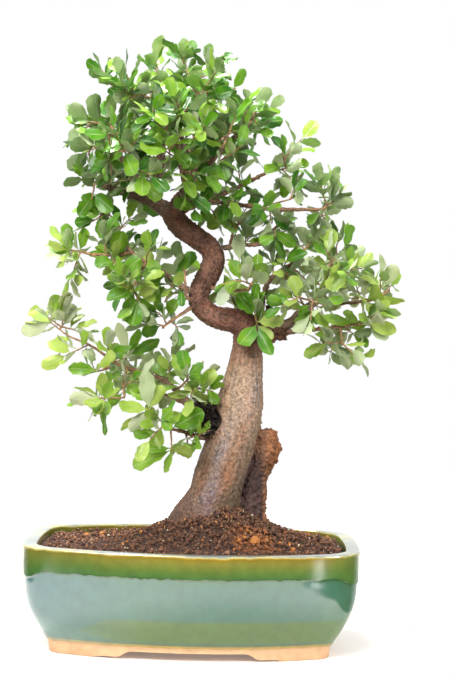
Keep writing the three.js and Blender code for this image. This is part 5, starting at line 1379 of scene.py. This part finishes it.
def runs_clear(twig, order):
    """True where a twig comes out of the wood once and keeps clear of other twigs."""
    free = is_past(twig.points, FREE_MARGIN)
    if not free.any() or not free[free.argmax():].all():
        return False
    outside = twig.points[is_past(twig.points, -TWIG_RADIUS)]
    others = twig_points[np.array(twig_sprays, int) != order] if twig_sprays else twig_points
    if not len(others) or not len(outside):
        return True
    return bool((np.linalg.norm(outside[:, None] - others[None], axis=2) > TWIG_CLEARANCE).all())


for order, (name, (tone, rows, listed)) in enumerate(SPRAYS.items()):
    twigs, own = [], np.zeros((0, 3))
    for index, (count, leaf_length, *route) in enumerate(rows):
        ends = [at(place) for place in route]
        starts = spine if index == 0 else own
        widths = spine_radius if index == 0 else np.full(len(own), TWIG_RADIUS)
        near = np.argsort(np.linalg.norm(starts - ends[0], axis=1), kind="stable")[:STARTS_TRIED]
        first_option = None
        for start in near:
            twig = Twig(starts[start], widths[start], ends)
            first_option = first_option or twig
            if runs_clear(twig, order):
                break
        else:
            twig = first_option
        twig.count, twig.leaf_length, twig.phase = count, leaf_length, order + index
        twig.first, twig.last = max(0.36 * twig.length, twig.radius + 4), twig.length - 3
        twigs.append(twig)
        outside = twig.points[is_past(twig.points, -TWIG_RADIUS)]
        twig_points = np.vstack([twig_points, outside])
        twig_sprays += [order] * len(outside)
        own = np.vstack([own, outside[is_past(outside, FREE_MARGIN)]]) if len(outside) else own
    grown.append((name, tone, twigs, own, listed))

wood_radius = np.append(spine_radius, np.full(len(twig_points), TWIG_RADIUS))
wood_spray = np.array([-1] * len(spine) + twig_sprays)
thicket = Thicket(np.vstack([spine, twig_points]), wood_radius, wood_spray)
for order, (*_, own, listed) in enumerate(grown):
    for row in listed:
        thicket.keep(listed_leaf(order, own, row))
for order, (_, tone, twigs, *_) in enumerate(grown):
    for index, twig in enumerate(twigs):
        for leaf_order in range(twig.count):
            draw = draws_for((order + 1) * 1000 + index * 100 + leaf_order + 1)
            for _ in range(LEAF_TRIES):
                leaf = drawn_leaf(order, tone, twig, leaf_order, draw)
                if thicket.is_clear(leaf):
                    thicket.keep(leaf)
                    break
print("twigs:", sum(len(entry[2]) for entry in grown), "leaves of the solid model:", len(thicket.leaves))

# %% New shoots
SHOOTS, SHOOT_LENGTHS, LEAVES_A_SHOOT, FEWEST_LEAVES = 190, (10, 24), 6, 3
SHOOT_RADIUS, LEAF_GAPS, SLIM, CROWN_FROM = 0.7, (0.6, 1.0, 0.6), 3.4, 215
GOLDEN_TURN = math.radians(137.5)
CROWN_MIDDLE, BARE_TO = np.array((0, 5, 330.0)), 366
MOST_SHOOT_TRIES, MOST_FILL_TRIES, NEW_LEAF_TRIES, ON_BRANCHES = 4000, 6000, 6, 0.35
WOOD_CLEARANCE, BLADE_CLEARANCE = 1.4, 1.1
rest = np.random.default_rng(77)
slim = np.nonzero((spine_radius < SLIM) & (spine[:, 2] > CROWN_FROM))[0][1:-1]
spray_of_points = np.concatenate([np.full(len(entry[3]), order) for order, entry in enumerate(grown)])
spray_points = np.vstack([entry[3] for entry in grown])


def in_box(points):
    """True where all points are inside the solid model's box."""
    return (points > low_mm + 0.5).all() and (points < high_mm - 0.5).all()


def as_seen(points):
    """Where points are seen from the front: at() turned round, without the depth."""
    spread = 1 + points[:, 1:2] / -EYE.y
    return np.array((EYE.x, EYE.z)) + (points[:, [0, 2]] - (EYE.x, EYE.z)) / spread


bare_wood = np.vstack([points for points, _ in spines[:2]])
bare_radius = np.concatenate([widths for _, widths in spines[:2]])
bare_seen = as_seen(bare_wood)
is_bare = bare_seen[:, 1] < BARE_TO


def hides_wood(points):
    """True where points stand in front of the bare trunk or bend as the photograph shows them."""
    away = np.linalg.norm(as_seen(points)[:, None] - bare_seen[None, is_bare], axis=2)
    before = points[:, None, 1] < bare_wood[None, is_bare, 1]
    return bool((before & (away < bare_radius[is_bare] * 0.9)).any())


def crowd_round(place, reach):
    """How many leaves have their middle within a reach of a place."""
    return (np.linalg.norm(thicket.middles - place, axis=1) < reach).sum()


def shoot_start():
    """A place for a shoot on a slim branch or a twig: its spray, place, radius and heading."""
    if rest.random() < ON_BRANCHES:
        index = int(rest.choice(slim))
        order = int(spray_of_points[np.linalg.norm(spray_points - spine[index], axis=1).argmin()])
        return order, spine[index], spine_radius[index], unit(spine[index + 1] - spine[index - 1])
    order = int(rest.integers(len(grown)))
    parent = grown[order][2][int(rest.integers(len(SPRAYS[grown[order][0]][1])))]
    place, heading, _, _ = parent.along(rest.uniform(0.3, 0.95) * parent.length)
    return order, place, TWIG_RADIUS, heading


def shoot_tip(start, radius, heading):
    """A tip for a shoot, bent away from its wood and a little up."""
    aside = unit(np.cross(heading, rest.normal(size=3)))
    toward = unit(heading * rest.uniform(0.1, 0.9) + aside + UP * rest.uniform(-0.1, 0.7))
    return start + toward * (radius + rest.uniform(*SHOOT_LENGTHS))


def shoot_is_free(shoot, radius):
    """True where a shoot keeps clear of wood and leaves, but for its start."""
    free = shoot.points[int((radius + 4) // 1.5):]
    if not len(free) or not in_box(shoot.points):
        return False
    near = np.linalg.norm(thicket.wood - shoot.places[-1], axis=1) < 50
    away = np.linalg.norm(free[:, None] - thicket.wood[None, near], axis=2) - thicket.wood_radius[near]
    leaves = [thicket.leaves[index] for index in
              np.nonzero(np.linalg.norm(thicket.middles - shoot.places[-1], axis=1) < 34)[0]]
    if not leaves:
        return away.min() > WOOD_CLEARANCE
    blades = np.vstack([leaf.samples[10:] for leaf in leaves])
    to_blades = np.linalg.norm(free[:, None] - blades[None], axis=2)
    return away.min() > WOOD_CLEARANCE and to_blades.min() > BLADE_CLEARANCE


def new_leaf(order, tone, base, heading, around, tilt, length):
    """A leaf at a turn round a shoot."""
    side = unit(np.cross(heading, START_SIDE))
    radial = side * math.cos(around) + np.cross(heading, side) * math.sin(around)
    axis = unit(heading * math.cos(tilt) + radial * math.sin(tilt) + UP * 0.15)
    outward = unit((base - CROWN_MIDDLE) * (1, 1, 0.3))
    face = heading * 0.6 + UP * 0.5 + outward * 0.8 + 0.8 * rest.uniform(-1, 1, 3)
    tone = min(max(tone + rest.uniform(-0.35, 0.4), 0), 1)
    width, arch = length * rest.uniform(0.44, 0.6), rest.uniform(-0.12, 0.34)
    return Leaf(order, base, axis, face, length, width, arch, tone)


def fits_in(leaf):
    """True where a new leaf stays in the box, clear of all others and off the bare wood."""
    return in_box(leaf.samples) and not hides_wood(leaf.samples) and thicket.is_clear(leaf, *LEAF_GAPS)


def grow_shoot():
    """Tries one shoot at the least crowded of a few places, and tells whether it could be kept."""
    options = []
    for _ in range(5):
        order, start, radius, heading = shoot_start()
        tip = shoot_tip(start, radius, heading)
        options.append((crowd_round(tip, 20), len(options), order, start, radius, tip))
    _, _, order, start, radius, tip = min(options, key=lambda option: option[:2])
    shoot = Twig(start, radius, [(start + tip) / 2 + rest.normal(0, 0.6, 3), tip])
    if not shoot_is_free(shoot, radius) or hides_wood(shoot.points[4:]):
        return False
    before, phase = len(thicket.leaves), rest.uniform(0, 6)
    for step in range(LEAVES_A_SHOOT):
        share = step / (LEAVES_A_SHOOT - 1)
        distance = radius + 2 + (shoot.length - radius - 2.5) * share
        base, heading, _, _ = shoot.along(distance)
        for _ in range(NEW_LEAF_TRIES):
            tilt = 1.2 - 0.7 * share + rest.uniform(-0.2, 0.2)
            turn = phase + step * GOLDEN_TURN + rest.uniform(-0.5, 0.5)
            leaf = new_leaf(order, grown[order][1], base, heading, turn, tilt, rest.uniform(15, 24))
            if fits_in(leaf):
                thicket.keep(leaf)
                break
    if len(thicket.leaves) - before < FEWEST_LEAVES:
        thicket.forget(before)
        return False
    shoot.is_shoot = True
    grown[order][2].append(shoot)
    thicket.wood = np.vstack([thicket.wood, shoot.points])
    thicket.wood_radius = np.append(thicket.wood_radius, np.full(len(shoot.points), SHOOT_RADIUS))
    thicket.wood_spray = np.append(thicket.wood_spray, np.full(len(shoot.points), order))
    return True


shoots = tries = 0
while shoots < SHOOTS and tries < MOST_SHOOT_TRIES:
    shoots += grow_shoot()
    tries += 1
print("shoots:", shoots, "of", tries, "tries, leaves:", len(thicket.leaves))

# %% Leaves between
FILL_LEAVES = 190
filled = tries = 0
while filled < FILL_LEAVES and tries < MOST_FILL_TRIES:
    tries += 1
    order = int(rest.integers(len(grown)))
    twig = grown[order][2][int(rest.integers(len(grown[order][2])))]
    if twig.length < 8:
        continue
    nearest = max(0.3 * twig.length, twig.radius + 2.5)
    base, heading, _, _ = twig.along(rest.uniform(nearest, twig.length - 1))
    leaf = new_leaf(order, grown[order][1], base, heading, rest.uniform(0, 6.28), rest.uniform(0.5, 1.25),
                    rest.uniform(15, 23))
    if fits_in(leaf):
        thicket.keep(leaf)
        filled += 1
print("leaves in all:", len(thicket.leaves))

# %% [markdown]
# ## One leaf
# The leaf of an evergreen oak is leathery and egg-shaped, with a few small teeth, a short stalk and a
# raised midrib. One leaf is modelled from a small grid: its under side is a copy, turned over and joined
# along the edge, so that it is a thin closed lens, and the two sides can have different finishes. Every
# leaf of the tree is this one, bent onto its own place.

# %% Leaf template
ACROSS, ALONG = 4, 9
STATIONS = np.array([0, 0.115, 0.19, 0.32, 0.46, 0.6, 0.73, 0.85, 0.94, 1.0])
blade = bmesh.new()
bmesh.ops.create_grid(blade, x_segments=ACROSS, y_segments=ALONG, size=1)
made = bmesh.ops.duplicate(blade, geom=blade.verts[:] + blade.edges[:] + blade.faces[:])
under_faces = parts_of(made, bmesh.types.BMFace)
bmesh.ops.reverse_faces(blade, faces=under_faces)
for face in under_faces:
    face.material_index = 1
for vert in blade.verts:
    vert.co.z = 0
bmesh.ops.translate(blade, vec=(0, 0, -1), verts=[
    vert for vert in parts_of(made, bmesh.types.BMVert) if max(abs(vert.co.x), abs(vert.co.y)) < 0.99])
bmesh.ops.remove_doubles(blade, verts=blade.verts, dist=0.001)
uv_layer = blade.loops.layers.uv.new("UVMap")
for face in blade.faces:
    for loop in face.loops:
        loop[uv_layer].uv = (loop.vert.co.x / 2 + 0.5, loop.vert.co.y / 2 + 0.5)
leaf_shape = mesh_of("leaf_one", blade)
leaf_points = np.array([vert.co for vert in leaf_shape.vertices])
leaf_side = leaf_points[:, 0]
leaf_row = np.round((leaf_points[:, 1] + 1) / 2 * ALONG).astype(int)
leaf_share = STATIONS[leaf_row]
leaf_under = leaf_points[:, 2]
TEETH = np.array([0, 0, 0, 0.07, -0.05, 0.07, -0.05, 0.07, -0.02, 0])[leaf_row]
leaf_half = (leaf_side > 0).astype(int)
print("faces of a leaf:", len(leaf_shape.polygons))

# %% Bending a leaf onto its place
def leaf_places(leaf, draws):
    """The template's points bent onto a leaf: toothed edge, cupped and a little twisted."""
    ragged = draws.normal(0, 0.045, (2, ALONG + 1))[leaf_half, leaf_row]
    outline = half_outline(leaf_share) * (1 + TEETH * draws.uniform(0.4, 1.8) + ragged) * 0.95
    half = np.maximum(outline * leaf.width / 2, 0.42 if leaf.length > 10 else 0.3)
    half = np.where(leaf_row == ALONG, leaf.width * 0.11, half)
    cup, twist = draws.uniform(-0.22, 0.28), draws.uniform(-0.4, 0.4)
    wave = 0.045 * leaf.length * np.sin(leaf_share * 10 + draws.uniform(0, 6) + leaf_side) * leaf_side
    bend = draws.uniform(-0.07, 0.07) * leaf.length * leaf_share ** 2
    rise = cup * leaf.width * leaf_side ** 2 * half_outline(leaf_share) + wave * half_outline(leaf_share)
    rise += twist * half * leaf_side * leaf_share
    thick = np.where(leaf_row <= 1, 0.75, 0.36)
    middle = leaf.length * leaf.arch * leaf_share ** 2
    return (leaf.base + np.outer(leaf_share * leaf.length, leaf.axis)
            + np.outer(half * leaf_side + bend, leaf.across)
            + np.outer(rise - middle + leaf_under * thick, leaf.face))

# %% [markdown]
# ## Leaf and shoot finishes
# The upper side of the leaf is waxy and glossy, from a bluish dark green to a fresh mid green, with a paler
# midrib and a thin pale edge. The under side has short hairs that make it matt and grey-green. Light comes
# through the blades in a warmer and stronger yellow-green, most of all through young ones, because the wall
# behind is bright. The tone of each leaf runs from dark to bright through one ramp, and the midrib and
# faint side veins are drawn from the leaf's own UV map: about seven veins a side, one every three
# millimetres. Shoots are orange-brown.

# %% Leaf finishes
def leaf_finish(name, surface_ramp, glow_ramp, cool, vein, rough, through):
    """A leaf side: ramps for what is reflected and what comes through, veins and edge from the UV map."""
    material, tree = new_material(name)
    tone = add(tree, "ShaderNodeAttribute", attribute_name="tone").outputs["Fac"]
    place = add(tree, "ShaderNodeTexCoord")
    blotches = add(tree, "ShaderNodeTexNoise", {
        "Vector": place.outputs["Object"], "Scale": 110.0, "Detail": 4.0})
    centred = add(tree, "ShaderNodeMath", {0: blotches, 1: 0.5}, operation="SUBTRACT")
    shaken = add(tree, "ShaderNodeMath", {0: centred, 1: 0.6, 2: tone}, operation="MULTIPLY_ADD")
    reflected = add(tree, "ShaderNodeValToRGB", {0: shaken}, surface_ramp)
    broad = add(tree, "ShaderNodeTexNoise", {"Vector": place.outputs["Object"], "Scale": 42.0, "Detail": 1.0})
    bluish = add(tree, "ShaderNodeMapRange", {0: broad, 1: 0.54, 2: 0.68, 3: 0.0, 4: 0.4})
    blade_colour = add(tree, "ShaderNodeMix", {0: bluish, 6: reflected, 7: cool}, data_type="RGBA")
    uv = add(tree, "ShaderNodeSeparateXYZ", {0: place.outputs["UV"]})
    from_middle = add(tree, "ShaderNodeMath", {0: uv.outputs["X"], 1: 0.5}, operation="SUBTRACT")
    aside = add(tree, "ShaderNodeMath", {0: from_middle}, operation="ABSOLUTE")
    midrib = add(tree, "ShaderNodeMapRange", {0: aside, 1: 0.012, 2: 0.06, 3: 0.6, 4: 0.0})
    slant = add(tree, "ShaderNodeMath", {0: aside, 1: -0.75, 2: uv.outputs["Y"]}, operation="MULTIPLY_ADD")
    turns = add(tree, "ShaderNodeMath", {0: slant, 1: 44.0}, operation="MULTIPLY")
    comb = add(tree, "ShaderNodeMath", {0: turns}, operation="SINE")
    veins = add(tree, "ShaderNodeMapRange", {0: comb, 1: 0.8, 2: 1.0, 3: 0.0, 4: 0.16})
    edge = add(tree, "ShaderNodeMapRange", {0: aside, 1: 0.44, 2: 0.5, 3: 0.0, 4: 0.45})
    ribs = add(tree, "ShaderNodeMath", {0: midrib, 1: veins}, operation="MAXIMUM")
    lines = add(tree, "ShaderNodeMath", {0: ribs, 1: edge}, operation="MAXIMUM")
    drawn = add(tree, "ShaderNodeMix", {0: lines, 6: blade_colour.outputs[2], 7: vein}, data_type="RGBA")
    relief = add(tree, "ShaderNodeBump", {"Strength": 0.5, "Distance": 0.0005, "Height": ribs})
    surface = add(tree, "ShaderNodeBsdfPrincipled", {
        "Base Color": drawn.outputs[2], "Roughness": rough, "IOR": 1.45, "Normal": relief})
    glow = add(tree, "ShaderNodeBsdfTranslucent", {
        "Color": add(tree, "ShaderNodeValToRGB", {0: shaken}, glow_ramp)})
    show(tree, add(tree, "ShaderNodeMixShader", {0: through, 1: surface, 2: glow}))
    return material


GLOW = [(0, "5c9c20"), (1, "ecff8c"), (0.3, "90cc30"), (0.6, "b8ec48"), (0.8, "d4fa60")]
leaf_upper = leaf_finish("waxy_leaf_upper_side", [
    (0, "347410"), (1, "d8f474"), (0.2, "4a9214"), (0.45, "76b824"), (0.72, "a8da3c")], GLOW, "4c9464",
    "d4e8a4", 0.28, 0.4)
leaf_lower = leaf_finish("downy_leaf_under_side", [
    (0, "a8c27c"), (1, "f8ffd4"), (0.25, "c0d890"), (0.5, "d8eaac"), (0.75, "eaf8c0")], GLOW, "c4dcc4",
    "f0f8d0", 0.55, 0.4)
shoot_bark, tree = new_material("young_oak_shoot")
place = add(tree, "ShaderNodeTexCoord").outputs["Object"]
streaks = add(tree, "ShaderNodeTexNoise", {"Vector": place, "Scale": 420.0, "Detail": 3.0})
colour = add(tree, "ShaderNodeValToRGB", {0: streaks}, [(0.35, "8a6244"), (0.7, "dcae78"), (0.5, "b88c60")])
relief = add(tree, "ShaderNodeBump", {"Strength": 0.4, "Distance": 0.0004, "Height": streaks})
show(tree, add(tree, "ShaderNodeBsdfPrincipled", {"Base Color": colour, "Roughness": 0.7, "Normal": relief}))

# %% [markdown]
# ## The sprays
# Each spray is one piece: its twigs as tapering tubes, drawn a little crooked, and its leaves. It stands
# for the solid model's spray of the same name. The leaves low on the tree get painted light, a brighter
# tone, and those of the dense crown painted shade, a slightly darker one.

# %% Sprays as pieces
# Painted light and shade: tone is added to the leaves below the crown and taken off in it.
PAINTED_LIGHT_HEIGHTS, PAINTED_LIGHT_GAINS = (330, 390), (0.28, -0.04)
SHOOT_THICK, FIRST_THICK, SIDE_THICK, TIP_THICK = 0.8, 1.35, 1.0, 0.5
total = 0
for order, (name, tone, twigs, own, _) in enumerate(grown):
    draws = np.random.default_rng(3000 + order)
    own_leaves = [leaf for leaf in thicket.leaves if leaf.spray == order]
    places = np.array([leaf_places(leaf, draws) for leaf in own_leaves])
    tones_with_painted_light = [leaf.tone + np.interp(leaf.middle[2], PAINTED_LIGHT_HEIGHTS, PAINTED_LIGHT_GAINS) for leaf in own_leaves]
    data = repeated("spray_" + name, leaf_shape, places, {"tone": tones_with_painted_light})
    wood = bmesh.new()
    for index, twig in enumerate(twigs):
        count = max(3, int(twig.length / 3))
        route = np.array([twig.along(twig.length * step / count)[0] for step in range(count + 1)])
        route[1:-1] += draws.normal(0, 0.18, (count - 1, 3))
        thick = SHOOT_THICK if twig.is_shoot else FIRST_THICK if index == 0 else SIDE_THICK
        tube(wood, route, np.linspace(thick, TIP_THICK, count + 1), 5 if twig.is_shoot else 6)
    bmesh.ops.recalc_face_normals(wood, faces=wood.faces)
    for face in wood.faces:
        face.material_index = 2
    wood.from_mesh(data)
    spray = mesh_of("spray_" + name, wood)
    piece = new_piece("leaves_" + name, spray, [leaf_upper, leaf_lower, shoot_bark], ["spray_" + name],
                      crease=75)
    total += len(piece.data.loop_triangles)
print("spray triangles:", total)
